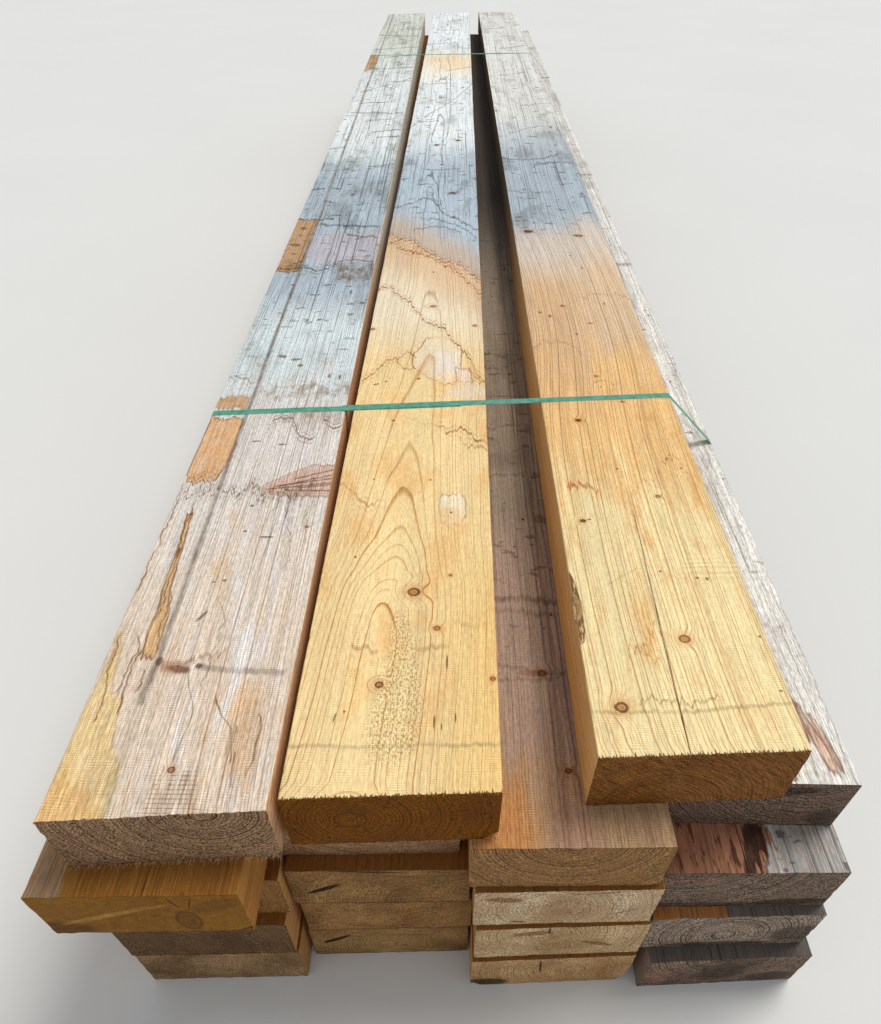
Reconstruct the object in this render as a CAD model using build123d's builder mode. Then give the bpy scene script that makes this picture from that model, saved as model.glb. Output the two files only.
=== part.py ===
from build123d import *
import math
import os

# A strapped stack of heavy sawn timber beams, five tiers high, lying on level ground.
# Millimetres. X runs across the stack, Y along the beams from front to rear, Z up.
# The origin is under the middle of the stack, on the ground.

# Section and length that the beams were sawn to
BEAM_WIDTH = 300
BEAM_THICKNESS = 140
BEAM_LENGTH = 6700
ARRIS_RADIUS = 3

# How the columns of beams stand side by side
SIDE_GAP = 10

# Plastic strapping
STRAP_WIDTH = 19
STRAP_THICKNESS = 1
WELD_LENGTH = 280
WELD_OFFSET = 3
FRONT_STRAP_SETBACK = 965
FRONT_STRAP_SKEW = 4.5
FRONT_WELD_START = 280
REAR_STRAP_SETBACK = 5030
REAR_STRAP_SKEW = 3.5
REAR_WELD_START = 640

# Drying checks: cracks that opened as the wood dried. Long ones are in the tops, short ones at the ends
LONG_CHECK_WIDTH = 4
LONG_CHECK_DEPTH = 25
SHORT_CHECK_WIDTH = 2.5
SHORT_CHECK_DEPTH = 15
HAIR_CHECK_WIDTH = 1.6
CHECK_FOOT = 0.3

# The left top beam's two long checks, each end given across the beam and along it
GROOVE_START = (85, 150)
GROOVE_FINISH = (42, BEAM_LENGTH)
FAR_CHECK_START = (150, 2000)
FAR_CHECK_FINISH = (130, 4400)

# Checks that open at a front end: how far across the beam, and how far along its top they run
HAIR_CHECK_ACROSS = 129
HAIR_CHECK_LENGTH = 500
HAIR_CHECK_LEAN = 13
LEFT_CHECK_ACROSS = 185
RIGHT_CHECK_ACROSS = 115
PAIRED_CHECKS_ACROSS = (135, 155)
PAIRED_CHECK_LENGTH = 160
SMALL_CHECK_LENGTH = 60

# Checks in the end grain of the second column, each end given across the beam and up it
UPPER_END_CHECK = ((22, 42), (90, 87))
LOWER_END_CHECK = ((15, 60), (85, 112))

# Wane: the round log left one lower corner unfilled at the front, and tapers until it fills it
LOG_RADIUS = 292
LOG_TAPER = 0.01
WANE_WIDTH = 18
WANE_HEIGHT = 65

# A torn bark pocket in an upper arris, and knocked corners at the ends
POCKET_LENGTH = 75
POCKET_DEPTH = 10
POCKET_SETBACK = 272
KNOCKED_LENGTH = 60
KNOCKED_DEPTH = 16

# Room that the cutters take outside the wood
CUTTER_CLEARANCE = 0.5
SAW_ALLOWANCE = 80


class Place:
    """One beam's name, where it lies in the stack, and how its two ends were sawn."""

    def __init__(self, name, tier, column, shift, setback, over=0, front_skew=10, rear_skew=0, turn=0):
        self.name = name
        self.left = (column - 1) * (BEAM_WIDTH + SIDE_GAP) + shift
        self.front = setback
        self.rear = setback + BEAM_LENGTH + over
        self.bottom = (tier - 1) * BEAM_THICKNESS
        self.top = tier * BEAM_THICKNESS
        self.front_skew = front_skew
        self.rear_skew = rear_skew
        self.turn = turn

    def left_at(self, y):
        """The left side's place across the stack, at a distance y behind the stack's front line."""
        return self.left - math.tan(math.radians(self.turn)) * (y - self.front)

    def section(self):
        """The plane of the beam's section at its left front corner, facing the front."""
        turn = math.radians(self.turn)
        return Plane(
            origin=(self.left - MIDDLE_X, self.front - MIDDLE_Y, self.bottom),
            x_dir=(math.cos(turn), math.sin(turn), 0),
            z_dir=(math.sin(turn), -math.cos(turn), 0),
        )

    def end(self, distance, skew):
        """The plane of a saw cut across the beam, which faces the front."""
        return self.section().offset(-distance).rotated((0, 0, math.degrees(math.atan2(skew, BEAM_WIDTH))))

    def front_end(self):
        return self.end(0, self.front_skew)

    def rear_end(self):
        return self.end(self.rear - self.front, self.rear_skew)

    def top_face(self):
        """The plane of the top, with x across the beam and y along it from the front end."""
        section = self.section()
        return Plane(origin=section.origin + Vector(0, 0, BEAM_THICKNESS), x_dir=section.x_dir, z_dir=(0, 0, 1))


# Each beam: its tier, its column, how far it was laid to the right of that column,
# how far its front end lies behind the stack's front line, and its length over the nominal one
BOTTOM_TIER = [
    Place("bottom_tier_beam_1", 1, 1, shift=0, setback=0, over=15),
    Place("bottom_tier_beam_2", 1, 2, shift=0, setback=48, over=-10),
    Place("bottom_tier_beam_3", 1, 3, shift=-5, setback=-2, over=10, front_skew=15),
    Place("bottom_tier_beam_4", 1, 4, shift=6, setback=1, over=35, front_skew=16),
]
SECOND_TIER = [
    Place("second_tier_beam_1", 2, 1, shift=-4, setback=0, over=-5),
    Place("second_tier_beam_2", 2, 2, shift=4, setback=46, over=20),
    Place("second_tier_beam_3", 2, 3, shift=-2, setback=5, over=-15, front_skew=14),
    Place("second_tier_beam_4", 2, 4, shift=-9, setback=26, over=10, front_skew=12),
]
THIRD_TIER = [
    Place("third_tier_beam_1", 3, 1, shift=2, setback=19, over=10),
    Place("third_tier_beam_2", 3, 2, shift=-2, setback=43, over=-20, front_skew=7),
    Place("third_tier_beam_3", 3, 3, shift=-7, setback=13, over=25),
    Place("third_tier_beam_4", 3, 4, shift=-14, setback=46, over=-5, front_skew=6),
]
FOURTH_TIER = [
    Place("fourth_tier_beam_1", 4, 1, shift=-19, setback=-52, over=20, front_skew=8),
    Place("fourth_tier_beam_2", 4, 2, shift=-20, setback=66, over=-100, front_skew=8),
    Place("fourth_tier_beam_3", 4, 3, shift=-16, setback=22, over=-15, front_skew=6),
    Place("fourth_tier_beam_4", 4, 4, shift=-21, setback=130, over=35, front_skew=-3, rear_skew=15),
]
TOP_TIER = [
    Place("top_tier_beam_1", 5, 1, shift=34, setback=-10, over=20, front_skew=19, rear_skew=55),
    Place("top_tier_beam_2", 5, 2, shift=34, setback=24, over=45, front_skew=16, rear_skew=27, turn=-0.48),
    Place("top_tier_beam_3", 5, 3, shift=157, setback=88, over=25, front_skew=15, rear_skew=-12),
]
STACK = BOTTOM_TIER + SECOND_TIER + THIRD_TIER + FOURTH_TIER + TOP_TIER

# The middle of the stack, which the origin lies under
LEFT_SIDE = min(place.left for place in STACK)
RIGHT_SIDE = max(place.left + BEAM_WIDTH for place in STACK)
FRONT_END = min(place.front + min(place.front_skew, 0) for place in STACK)
REAR_END = max(place.rear + max(place.rear_skew, 0) for place in STACK)
MIDDLE_X = (LEFT_SIDE + RIGHT_SIDE) / 2
MIDDLE_Y = (FRONT_END + REAR_END) / 2


def crack(plane, start, finish, width, depth):
    """A drying check's cutter: a wedge that is widest half way, pointed at both ends, and closes at its foot."""
    start, finish = Vector(*start), Vector(*finish)
    middle = (start + finish) / 2
    sideways = Vector(start.Y - finish.Y, finish.X - start.X).normalized()
    with BuildPart() as cutter:
        for level, gape in ((CUTTER_CLEARANCE, width), (-depth, CHECK_FOOT)):
            with BuildSketch(plane.offset(level)):
                with BuildLine():
                    half = sideways * gape / 2
                    Polyline(start, middle + half, finish, middle - half, close=True)
                make_face()
        loft(ruled=True)
    return cutter.part


def long_check(place, start, finish):
    return crack(place.top_face(), start, finish, LONG_CHECK_WIDTH, LONG_CHECK_DEPTH)


def short_check(place, across, length, lean=0, width=SHORT_CHECK_WIDTH):
    """A check that opens at the front end and closes along the top; lean is how far it drifts across."""
    return crack(place.top_face(), (across - lean, -length), (across + lean, length), width, SHORT_CHECK_DEPTH)


def end_check(place, start, finish):
    """A check in the end grain, from start to finish across and up the front end."""
    return crack(place.front_end(), start, finish, SHORT_CHECK_WIDTH, SHORT_CHECK_DEPTH)


def wane(place):
    """The cutter for the lower right corner that the log didn't fill: what lies outside its tapered round."""
    corner = Vector(BEAM_WIDTH, 0)
    chord = math.hypot(WANE_WIDTH, WANE_HEIGHT)
    chord_middle = corner + Vector(-WANE_WIDTH, WANE_HEIGHT) / 2
    inward = Vector(-WANE_HEIGHT, WANE_WIDTH) / chord
    log_centre = chord_middle + inward * math.sqrt(LOG_RADIUS**2 - chord**2 / 4)
    length = ((corner - log_centre).length - LOG_RADIUS) / LOG_TAPER
    outside = place.section().offset(SAW_ALLOWANCE)
    reach = SAW_ALLOWANCE + length
    with BuildPart() as cutter:
        with BuildSketch(outside):
            with Locations(corner):
                Rectangle(4 * WANE_WIDTH, 4 * WANE_HEIGHT)
        extrude(amount=-reach)
        for distance in (0, reach):
            with BuildSketch(outside.offset(-distance)):
                with Locations(log_centre):
                    Circle(LOG_RADIUS + LOG_TAPER * (distance - SAW_ALLOWANCE))
        loft(mode=Mode.SUBTRACT)
    return cutter.part


def scoop(place, edge_point, setback, length, depth, away):
    """A shallow ball cut in an edge: length along the wood, depth at its deepest, away from the wood."""
    radius = (length**2 / 4 + depth**2) / (2 * depth)
    centre = Vector(*edge_point) + Vector(*away).normalized() * (radius - depth)
    with BuildPart(Plane(place.section().offset(-setback).from_local_coords(centre))) as cutter:
        Sphere(radius)
    return cutter.part


def make_beam(place, cutters=()):
    """A beam: its eased section run along its length, sawn off at both ends, with what the cutters take."""
    with BuildPart() as beam:
        with BuildSketch(place.section().offset(SAW_ALLOWANCE)):
            with Locations((BEAM_WIDTH / 2, BEAM_THICKNESS / 2)):
                RectangleRounded(BEAM_WIDTH, BEAM_THICKNESS, ARRIS_RADIUS)
        extrude(amount=-(place.rear - place.front + 2 * SAW_ALLOWANCE))
        split(bisect_by=place.front_end(), keep=Keep.BOTTOM)
        split(bisect_by=place.rear_end(), keep=Keep.TOP)
        for cutter in cutters:
            add(cutter, mode=Mode.SUBTRACT)
    beam.part.label = place.name
    export_step(beam.part, f"parts/{place.name}.step")


def make_strap(name, setback, skew, weld_start):
    """A strap pulled tight round the stack, its ends laid over each other and welded on the top tier.

    A tight strap touches only the outermost arrises, so its line is the hull of the beams' sections.
    Under the stack the weight has pressed it into the wood by its own thickness.
    """
    reach = (RIGHT_SIDE - LEFT_SIDE) * math.tan(math.radians(skew)) / 2 + 2 * STRAP_WIDTH
    first = TOP_TIER[0]
    with BuildPart() as strap:
        with BuildSketch(Plane.XZ.offset(-(setback - reach - MIDDLE_Y))):
            for place in STACK:
                pressed = STRAP_THICKNESS if place in BOTTOM_TIER else 0
                core_width = BEAM_WIDTH - 2 * ARRIS_RADIUS
                core_height = BEAM_THICKNESS - 2 * ARRIS_RADIUS - pressed
                middle = place.left_at(setback) + BEAM_WIDTH / 2 - MIDDLE_X
                with Locations((middle, place.top - ARRIS_RADIUS - core_height / 2)):
                    Rectangle(core_width, core_height)
            make_hull()
            inside = offset(amount=ARRIS_RADIUS, mode=Mode.PRIVATE)
            offset(amount=ARRIS_RADIUS + STRAP_THICKNESS)
            add(inside, mode=Mode.SUBTRACT)
        extrude(amount=-2 * reach)
        with Locations(Location((0, setback - MIDDLE_Y, 0), (0, 0, skew))):
            Box(2 * (RIGHT_SIDE - LEFT_SIDE), STRAP_WIDTH, 4 * first.top, mode=Mode.INTERSECT)
            weld_middle = first.left + weld_start + WELD_LENGTH / 2 - MIDDLE_X
            with Locations((weld_middle, -WELD_OFFSET, first.top + 1.5 * STRAP_THICKNESS)):
                Box(WELD_LENGTH, STRAP_WIDTH, STRAP_THICKNESS)
    strap.part.label = name
    export_step(strap.part, f"parts/{name}.step")
    return strap.part


os.makedirs("parts", exist_ok=True)

# The two straps come first, because the bottom tier is pressed in by them
front_strap = make_strap("front_strap", FRONT_STRAP_SETBACK, FRONT_STRAP_SKEW, FRONT_WELD_START)
rear_strap = make_strap("rear_strap", REAR_STRAP_SETBACK, REAR_STRAP_SKEW, REAR_WELD_START)

# What the cutters take from each beam, by the beam's name
cuts = {place.name: [] for place in STACK}
for place in BOTTOM_TIER:
    cuts[place.name] += [front_strap, rear_strap]

left_top, middle_top, right_top = TOP_TIER
cuts[left_top.name] += [
    long_check(left_top, GROOVE_START, GROOVE_FINISH),
    long_check(left_top, FAR_CHECK_START, FAR_CHECK_FINISH),
]
cuts[middle_top.name] += [
    scoop(middle_top, (BEAM_WIDTH, 0), middle_top.front_skew, KNOCKED_LENGTH, KNOCKED_DEPTH, away=(1, -1, 1)),
]
cuts[right_top.name] += [
    short_check(right_top, HAIR_CHECK_ACROSS, HAIR_CHECK_LENGTH, HAIR_CHECK_LEAN, HAIR_CHECK_WIDTH),
    scoop(right_top, (0, BEAM_THICKNESS), POCKET_SETBACK, POCKET_LENGTH, POCKET_DEPTH, away=(-1, 1, 0)),
]
cuts["fourth_tier_beam_1"] += [short_check(FOURTH_TIER[0], LEFT_CHECK_ACROSS, SMALL_CHECK_LENGTH)]
cuts["third_tier_beam_4"] += [
    short_check(THIRD_TIER[3], across, PAIRED_CHECK_LENGTH) for across in PAIRED_CHECKS_ACROSS
]
cuts["third_tier_beam_2"] += [end_check(THIRD_TIER[1], *UPPER_END_CHECK)]
cuts["bottom_tier_beam_2"] += [end_check(BOTTOM_TIER[1], *LOWER_END_CHECK)]
cuts["bottom_tier_beam_4"] += [short_check(BOTTOM_TIER[3], RIGHT_CHECK_ACROSS, SMALL_CHECK_LENGTH)]
cuts["bottom_tier_beam_3"] += [
    wane(BOTTOM_TIER[2]),
    scoop(BOTTOM_TIER[2], (0, 0), 0, KNOCKED_LENGTH, KNOCKED_DEPTH, away=(-1, -1, 1)),
]

for place in STACK:
    make_beam(place, cuts[place.name])
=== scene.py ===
"""A strapped stack of rough-sawn timber beams, weathered grey towards its far end. Metres, with +Z up. The
finish of the wood is laid out in millimetres from each beam's own left, front and lower sides."""

import math
import random

import bmesh
import bpy
from mathutils import Matrix, Vector, noise


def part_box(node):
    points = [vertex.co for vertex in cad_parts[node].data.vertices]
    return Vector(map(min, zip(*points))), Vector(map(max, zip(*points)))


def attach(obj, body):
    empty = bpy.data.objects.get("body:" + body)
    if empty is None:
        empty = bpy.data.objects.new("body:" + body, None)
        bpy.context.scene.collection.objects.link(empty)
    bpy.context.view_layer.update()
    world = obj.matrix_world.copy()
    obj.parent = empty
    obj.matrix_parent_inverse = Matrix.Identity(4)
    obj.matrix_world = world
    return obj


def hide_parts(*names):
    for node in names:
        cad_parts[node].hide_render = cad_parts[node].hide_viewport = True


MM = 0.001

# The strap: its section, how its ends lie over each other, its sway, the pitch of its points along it and
# of its embossed pattern, which is counted in waves to the metre
STRAP_WIDTH = 19 * MM
STRAP_THICKNESS = 0.9 * MM
STRAP_OVERLAP = 280 * MM
STRAP_LAYER = 1.0 * MM
STRAP_CROWN = 0.12 * MM
STRAP_SWAY = 0.7 * MM
STRAP_PITCH = 18 * MM
STRAP_PATTERN = 650
TAIL_OFFSET = 4 * MM
LAP_RISE = 45 * MM
ARRIS_RADIUS = 3 * MM

# Rough sawing and wear: how deep each goes, and how far it reaches
FACE_HOLLOW = 0.8 * MM
ARRIS_NIBBLE = 2.2 * MM
END_HOLLOW = 1.0 * MM
CHECK_STRAY = 7 * MM
CHECK_QUIVER = 1.5 * MM
CHECK_REACH = 30 * MM
CHECK_DEPTH = 40 * MM
FIBRE_ROOT = 1.0 * MM

# How finely a beam's faces are cut up: near its front end, in the middle and at the far end, and in columns
# across and rows up it
FINE = {"front": 320 * MM, "near": 4 * MM, "middle": 16 * MM, "far": 50 * MM,
        "column": 6 * MM, "row": 10 * MM}
PLAIN = {"front": 320 * MM, "near": 8 * MM, "middle": 50 * MM, "far": 120 * MM,
         "column": 12 * MM, "row": 14 * MM}
HIDDEN = {"front": 60 * MM, "near": 10 * MM, "middle": 120 * MM, "far": 240 * MM,
          "column": 15 * MM, "row": 14 * MM}
MIDDLE_END = 1600 * MM
SAME_PLACE = 0.01 * MM
SAME_DIRECTION = 0.01
SHARP_ANGLE = math.radians(32)

# The pitch of the saw's marks along a beam, in the millimetres of a finish, and how deep the relief of the
# two finishes goes
SAW_PITCH = 3.4
WOOD_RELIEF = 0.6 * MM
STRAP_RELIEF = 0.3 * MM

# The floor's half width, and the lamp: its strength, how wide it looks from the stack and where it stands
FLOOR_REACH = 60
LAMP_STRENGTH = 2.1
LAMP_WIDTH = math.radians(24)
LAMP_AIM = (0.42, 0.32, 1.0)

# The camera, level first and then pitched down, turned and rolled
CAMERA_PLACE = (-0.0361, -3.8354, 1.6148)
CAMERA_PITCH = math.radians(42.044)
CAMERA_YAW = math.radians(-1.109)
CAMERA_ROLL = math.radians(-0.401)
CAMERA_LENS = 25.249

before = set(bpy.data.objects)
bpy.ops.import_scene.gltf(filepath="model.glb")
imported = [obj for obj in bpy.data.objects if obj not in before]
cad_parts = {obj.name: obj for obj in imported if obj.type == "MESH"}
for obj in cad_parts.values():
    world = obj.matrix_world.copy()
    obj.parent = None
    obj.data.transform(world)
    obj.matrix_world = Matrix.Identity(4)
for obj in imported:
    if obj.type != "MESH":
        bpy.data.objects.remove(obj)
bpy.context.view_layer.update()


class Beam:
    """A beam of the frame in its own directions: across from its left side, along from its front end and
    up from its underside."""

    def __init__(self, node, turn=0.0):
        self.node = node
        self.turn = math.radians(turn)
        straighten = Matrix.Rotation(-self.turn, 4, "Z")
        points = [straighten @ vertex.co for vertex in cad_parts[node].data.vertices]
        corner = Vector([min(point[axis] for point in points) for axis in range(3)])
        own = [point - corner for point in points]
        self.width, self.length, self.height = (max(point[axis] for point in own) for axis in range(3))
        self.to_own = Matrix.Translation(-corner) @ straighten
        self.from_own = self.to_own.inverted()
        self.corner = self.from_own @ Vector((0, 0, 0))
        edge_band = 5 * MM
        on_left = [point.y for point in own if point.x < edge_band]
        on_right = [point.y for point in own if point.x > self.width - edge_band]
        self.front_skew = min(on_right) - min(on_left)
        self.rear_skew = max(on_right) - max(on_left)

    def along_end(self, across):
        """Where the front end lies along the beam, a distance across it."""
        return self.front_skew * across / self.width


# Colours and finishes


def tone(red, green, blue):
    """A colour by its display values, 0 to 255."""
    shares = (red / 255, green / 255, blue / 255)
    light = [share / 12.92 if share <= 0.04045 else ((share + 0.055) / 1.055) ** 2.4 for share in shares]
    return (*light, 1.0)


def socket_kind(value):
    """The kind of group socket that passes on a number, a place or a colour."""
    if isinstance(value, bpy.types.NodeSocket):
        return {"VECTOR": "NodeSocketVector", "RGBA": "NodeSocketColor"}.get(value.type, "NodeSocketFloat")
    if isinstance(value, tuple):
        return {3: "NodeSocketVector", 4: "NodeSocketColor"}[len(value)]
    return "NodeSocketFloat"


class Finish:
    """A material, and short words for laying on its colour, grain and wear."""

    def __init__(self, name):
        self.material = bpy.data.materials.new(name)
        self.material.use_nodes = True
        self.tree = self.material.node_tree
        self.shader = self.tree.nodes["Principled BSDF"]

    def feed(self, socket, value):
        if isinstance(value, bpy.types.NodeSocket):
            self.tree.links.new(value, socket)
        elif value is not None:
            socket.default_value = value

    def node(self, kind, *values, **settings):
        """A node with its settings, its inputs set or linked in their order."""
        made = self.tree.nodes.new("ShaderNode" + kind)
        for setting, value in settings.items():
            setattr(made, setting, value)
        for socket, value in zip(made.inputs, values):
            self.feed(socket, value)
        return made

    def maths(self, operation, *values, clamp=False):
        return self.node("Math", *values, operation=operation, use_clamp=clamp).outputs[0]

    def plus(self, first, second):
        return self.maths("ADD", first, second)

    def minus(self, first, second):
        return self.maths("SUBTRACT", first, second)

    def times(self, first, second):
        return self.maths("MULTIPLY", first, second)

    def scaled(self, value, scale, start):
        """The value times scale, plus start."""
        return self.maths("MULTIPLY_ADD", value, scale, start)

    def most(self, first, second):
        return self.maths("MAXIMUM", first, second)

    def size(self, value):
        return self.maths("ABSOLUTE", value)

    def wave(self, value, pitch):
        return self.maths("SINE", self.times(value, 2 * math.pi / pitch))

    def vector(self, operation, *values, scale=None):
        made = self.node("VectorMath", *values, operation=operation)
        if scale is not None:
            self.feed(made.inputs["Scale"], scale)
        return made.outputs["Value" if operation == "LENGTH" else "Vector"]

    def smooth(self, value, low, high, start=0.0, finish=1.0):
        """Eases from start, where value is low, to finish, where it is high. It doesn't clamp, because each
        clamp is a node more and a rich finish comes near the renderer's limit for one material."""
        eased = {"interpolation_type": "SMOOTHSTEP", "clamp": False}
        return self.node("MapRange", value, low, high, start, finish, **eased).outputs[0]

    def spread(self, value, low, high):
        """Takes a noise from its middle half to the range from low to high."""
        return self.node("MapRange", value, 0.28, 0.72, low, high, clamp=True).outputs[0]

    def curve(self, value, points):
        """Reads a value off a smooth line through points given in rising order. It doesn't clamp either."""
        (first, start), (last, finish) = points[0], points[-1]
        low, high = min(point[1] for point in points), max(point[1] for point in points)
        if low == high:
            return low
        share = self.node("MapRange", value, first, last, 0.0, 1.0, clamp=False).outputs[0]
        made = self.node("FloatCurve", 1.0, share)
        line = made.mapping.curves[0]
        for place, height in points[1:-1]:
            line.points.new((place - first) / (last - first), (height - low) / (high - low))
        line.points[0].location = (0.0, (start - low) / (high - low))
        line.points[-1].location = (1.0, (finish - low) / (high - low))
        made.mapping.extend = "HORIZONTAL"
        made.mapping.update()
        return self.scaled(made.outputs[0], high - low, low)

    def mix(self, share, first, second):
        made = self.node("Mix", share, data_type="RGBA")
        self.feed(made.inputs[6], first)
        self.feed(made.inputs[7], second)
        return made.outputs[2]

    def group(self, build, *values, name=None):
        """Works build out of values in a small tree of its own, kept under its name to be used again, because
        Blender is slow on large trees. Gives the outputs of the group."""
        small = bpy.data.node_groups.get(name) if name else None
        if small is None:
            small = bpy.data.node_groups.new(name or self.material.name, "ShaderNodeTree")
            for value in values:
                small.interface.new_socket("value", in_out="INPUT", socket_type=socket_kind(value))
            entry = small.nodes.new("NodeGroupInput")
            large, self.tree = self.tree, small
            results = build(*entry.outputs[:len(values)])
            for result in results:
                small.interface.new_socket("result", in_out="OUTPUT", socket_type=socket_kind(result))
            leave = small.nodes.new("NodeGroupOutput")
            for socket, result in zip(leave.inputs, results):
                self.feed(socket, result)
            self.tree = large
        return self.node("Group", *values, node_tree=small).outputs

    def stretch(self, place, across, along, up, shift=0.0):
        return self.node("Mapping", place, (shift, shift, shift), (0, 0, 0), (across, along, up)).outputs[0]

    def cloud(self, place, detail=2.0, roughness=0.5, coloured=False):
        """Soft noise with one wave to each unit of place."""
        made = self.node("TexNoise", place)
        made.inputs["Scale"].default_value = 1.0
        made.inputs["Detail"].default_value = detail
        made.inputs["Roughness"].default_value = roughness
        return made.outputs[1 if coloured else 0]

    def cover(self, colour, roughness, height, depth, strength):
        """Joins up the shader: its colour and roughness, and the relief that height gives, depth at most."""
        self.feed(self.shader.inputs["Base Color"], colour)
        self.feed(self.shader.inputs["Roughness"], roughness)
        bump = self.node("Bump")
        bump.inputs["Strength"].default_value = strength
        bump.inputs["Distance"].default_value = depth
        self.feed(bump.inputs["Height"], height)
        self.feed(self.shader.inputs["Normal"], bump.outputs[0])


class Timber(Finish):
    """The finish of one sawn beam: growth rings about its pith, seen as end grain and as figure on its faces,
    with zones of other colour, stains, knots, saw marks and torn fibres. Places, widths and the jag of a torn
    or soaked edge are in millimetres, across, along and up the beam. Clouds have waves to the metre."""

    def __init__(self, beam, pale, dark, pith, ring=5, line=0.6, knots=(), end_pith=None, seed=0.0):
        super().__init__(beam.node + "_timber")
        self.beam = beam
        self.height = beam.height / MM
        self.seed = seed
        self.pale = pale
        self.dark = dark
        here = self.node("TexCoord").outputs["Object"]
        turned = (0, 0, beam.turn)
        self.here = self.node("Mapping", here, tuple(beam.corner), turned, vector_type="TEXTURE").outputs[0]
        in_mm = self.vector("SCALE", self.here, scale=1 / MM)
        self.across, self.along, self.up = self.node("SeparateXYZ", in_mm).outputs
        facing = self.node("SeparateXYZ", self.node("NewGeometry").outputs["True Normal"]).outputs
        self.side = self.smooth(self.size(facing[0]), 0.5, 0.85)
        self.end = self.smooth(self.size(facing[1]), 0.5, 0.85)
        fibres = self.clouds(130, 5, 130, seed, roughness=0.6)
        self.ragged = self.times(self.minus(self.plus(fibres, self.clouds(26, 6, 26, seed)), 1.0), 2.0)
        self.sway = self.minus(self.clouds(12, 32, 12, seed + 5, detail=3), 0.5)
        self.patchy = self.spread(self.clouds(60, 30, 60, seed + 7), 0.2, 1.15)
        self.grow(pith, end_pith, ring, line, knots)

    def clouds(self, across, along, up, shift=0.0, **settings):
        """Soft noise with so many waves to the metre across, along and up the beam."""
        return self.cloud(self.stretch(self.here, across, along, up, shift), **settings)

    def past(self, start, finish, jag=0):
        """Nothing before start, along the beam, and one past finish, or the reverse if start is larger."""
        along = self.scaled(self.ragged, jag, self.along) if jag else self.along
        return self.smooth(along, start, finish)

    def grow(self, pith, end_pith, ring, line, knots):
        """Rings about a pith that wanders along the beam, pushed out round each knot."""
        middle = self.curve(self.along, [(along, across) for along, across, up in pith])
        depth = self.curve(self.along, [(along, up) for along, across, up in pith])
        place = self.node("CombineXYZ", middle, 0.0, depth).outputs[0]
        if end_pith:
            place = self.mix(self.end, place, (end_pith[0], 0.0, end_pith[1], 1.0))
        flat = self.node("CombineXYZ", self.across, 0.0, self.up).outputs[0]
        waver = self.clouds(11, 2.4, 11, self.seed, coloured=True)
        place = self.vector("MULTIPLY_ADD", waver, (12, 0, 12), self.vector("SUBTRACT", flat, place))
        radius = self.vector("LENGTH", place)
        self.nearest = None
        for across, along, size in knots:
            away = self.oval(self.across, self.along, (across, along), (size, 0.85 * size))
            radius = self.plus(radius, self.smooth(away, 4.5, 0.3, 0.0, 1.1 * size))
            self.nearest = self.maths("MINIMUM", self.nearest, away) if self.nearest else away
        count = self.maths("DIVIDE", radius, ring)
        uneven = self.node("TexNoise", None, self.times(count, 0.2), noise_dimensions="1D")
        uneven.inputs["Scale"].default_value = 1.0
        count = self.scaled(uneven.outputs[0], 5.0, count)
        year = self.maths("FRACT", count)
        start = self.scaled(self.end, 0.25 - line, line)
        late = self.times(self.smooth(year, start, 0.93), self.smooth(year, 1.0, 0.95))
        which = self.node("TexWhiteNoise", None, self.maths("FLOOR", count), noise_dimensions="1D").outputs[0]
        self.rings = self.times(late, self.scaled(which, 0.6, 0.5))

    def oval(self, across, along, middle, half_sizes, tilt=0.0):
        """Nothing at the middle of a tilted oval and one at its rim, from two distances of a place."""

        def measure(across, along, start, begin, half_width, half_length, tilt):
            across, along = self.minus(across, start), self.minus(along, begin)
            level, upright = self.maths("COSINE", tilt), self.maths("SINE", tilt)
            width = self.plus(self.times(across, level), self.times(along, upright))
            length = self.minus(self.times(along, level), self.times(across, upright))
            width, length = self.maths("DIVIDE", width, half_width), self.maths("DIVIDE", length, half_length)
            return (self.maths("SQRT", self.scaled(width, width, self.times(length, length))),)

        return self.group(measure, across, along, *middle, *half_sizes, math.radians(tilt), name="oval")[0]

    def zone(self, share, pale, dark):
        """Turns the pale wood and the dark of its rings to other colours where share is one."""

        def lay(share, pale, dark, new_pale, new_dark):
            return self.mix(share, pale, new_pale), self.mix(share, dark, new_dark)

        self.pale, self.dark = self.group(lay, share, self.pale, self.dark, pale, dark, name="lay")

    def stain(self, share, colour, strength=1.0):
        """Soaks the wood with one colour, so that its rings fade too."""

        def soak(share, strength, pale, dark, colour):
            share = self.times(share, strength)
            return self.mix(share, pale, colour), self.mix(share, dark, colour)

        self.pale, self.dark = self.group(soak, share, strength, self.pale, self.dark, colour, name="soak")

    def frayed(self, across, along, ragged, sway, jag):
        """Distances across and along with the unevenness of torn or soaked fibres."""
        return self.scaled(sway, 0.35 * jag, across), self.scaled(ragged, jag, along)

    def faded(self, share, patchy):
        """A stroke that is fainter in places."""
        return self.times(share, self.scaled(patchy, 0.65, 0.35))

    def patch(self, rows, jag=12):
        """How far a place lies outside a patch: rows of its distance along, left edge and right edge."""

        def outline(*place):
            across, along = self.frayed(*place, jag)
            left = self.curve(along, [(row[0], row[1]) for row in rows])
            right = self.curve(along, [(row[0], row[2]) for row in rows])
            beside = self.most(self.minus(left, across), self.minus(across, right))
            beyond = self.most(self.minus(rows[0][0], along), self.minus(along, rows[-1][0]))
            return (self.most(beside, self.times(beyond, 0.6)),)

        return self.group(outline, self.across, self.along, self.ragged, self.sway)[0]

    def border(self, points, jag=12):
        """How far a place lies beyond a ragged line across the beam, given as for line."""
        return self.scaled(self.ragged, jag, self.minus(self.along, self.curve(self.across, points)))

    def line(self, points, colour, strength, width=5, jag=12, echo=0.0):
        """A ragged line across the beam, through points of its distance across and along. An echo is a weaker
        line on either side of it."""

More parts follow.
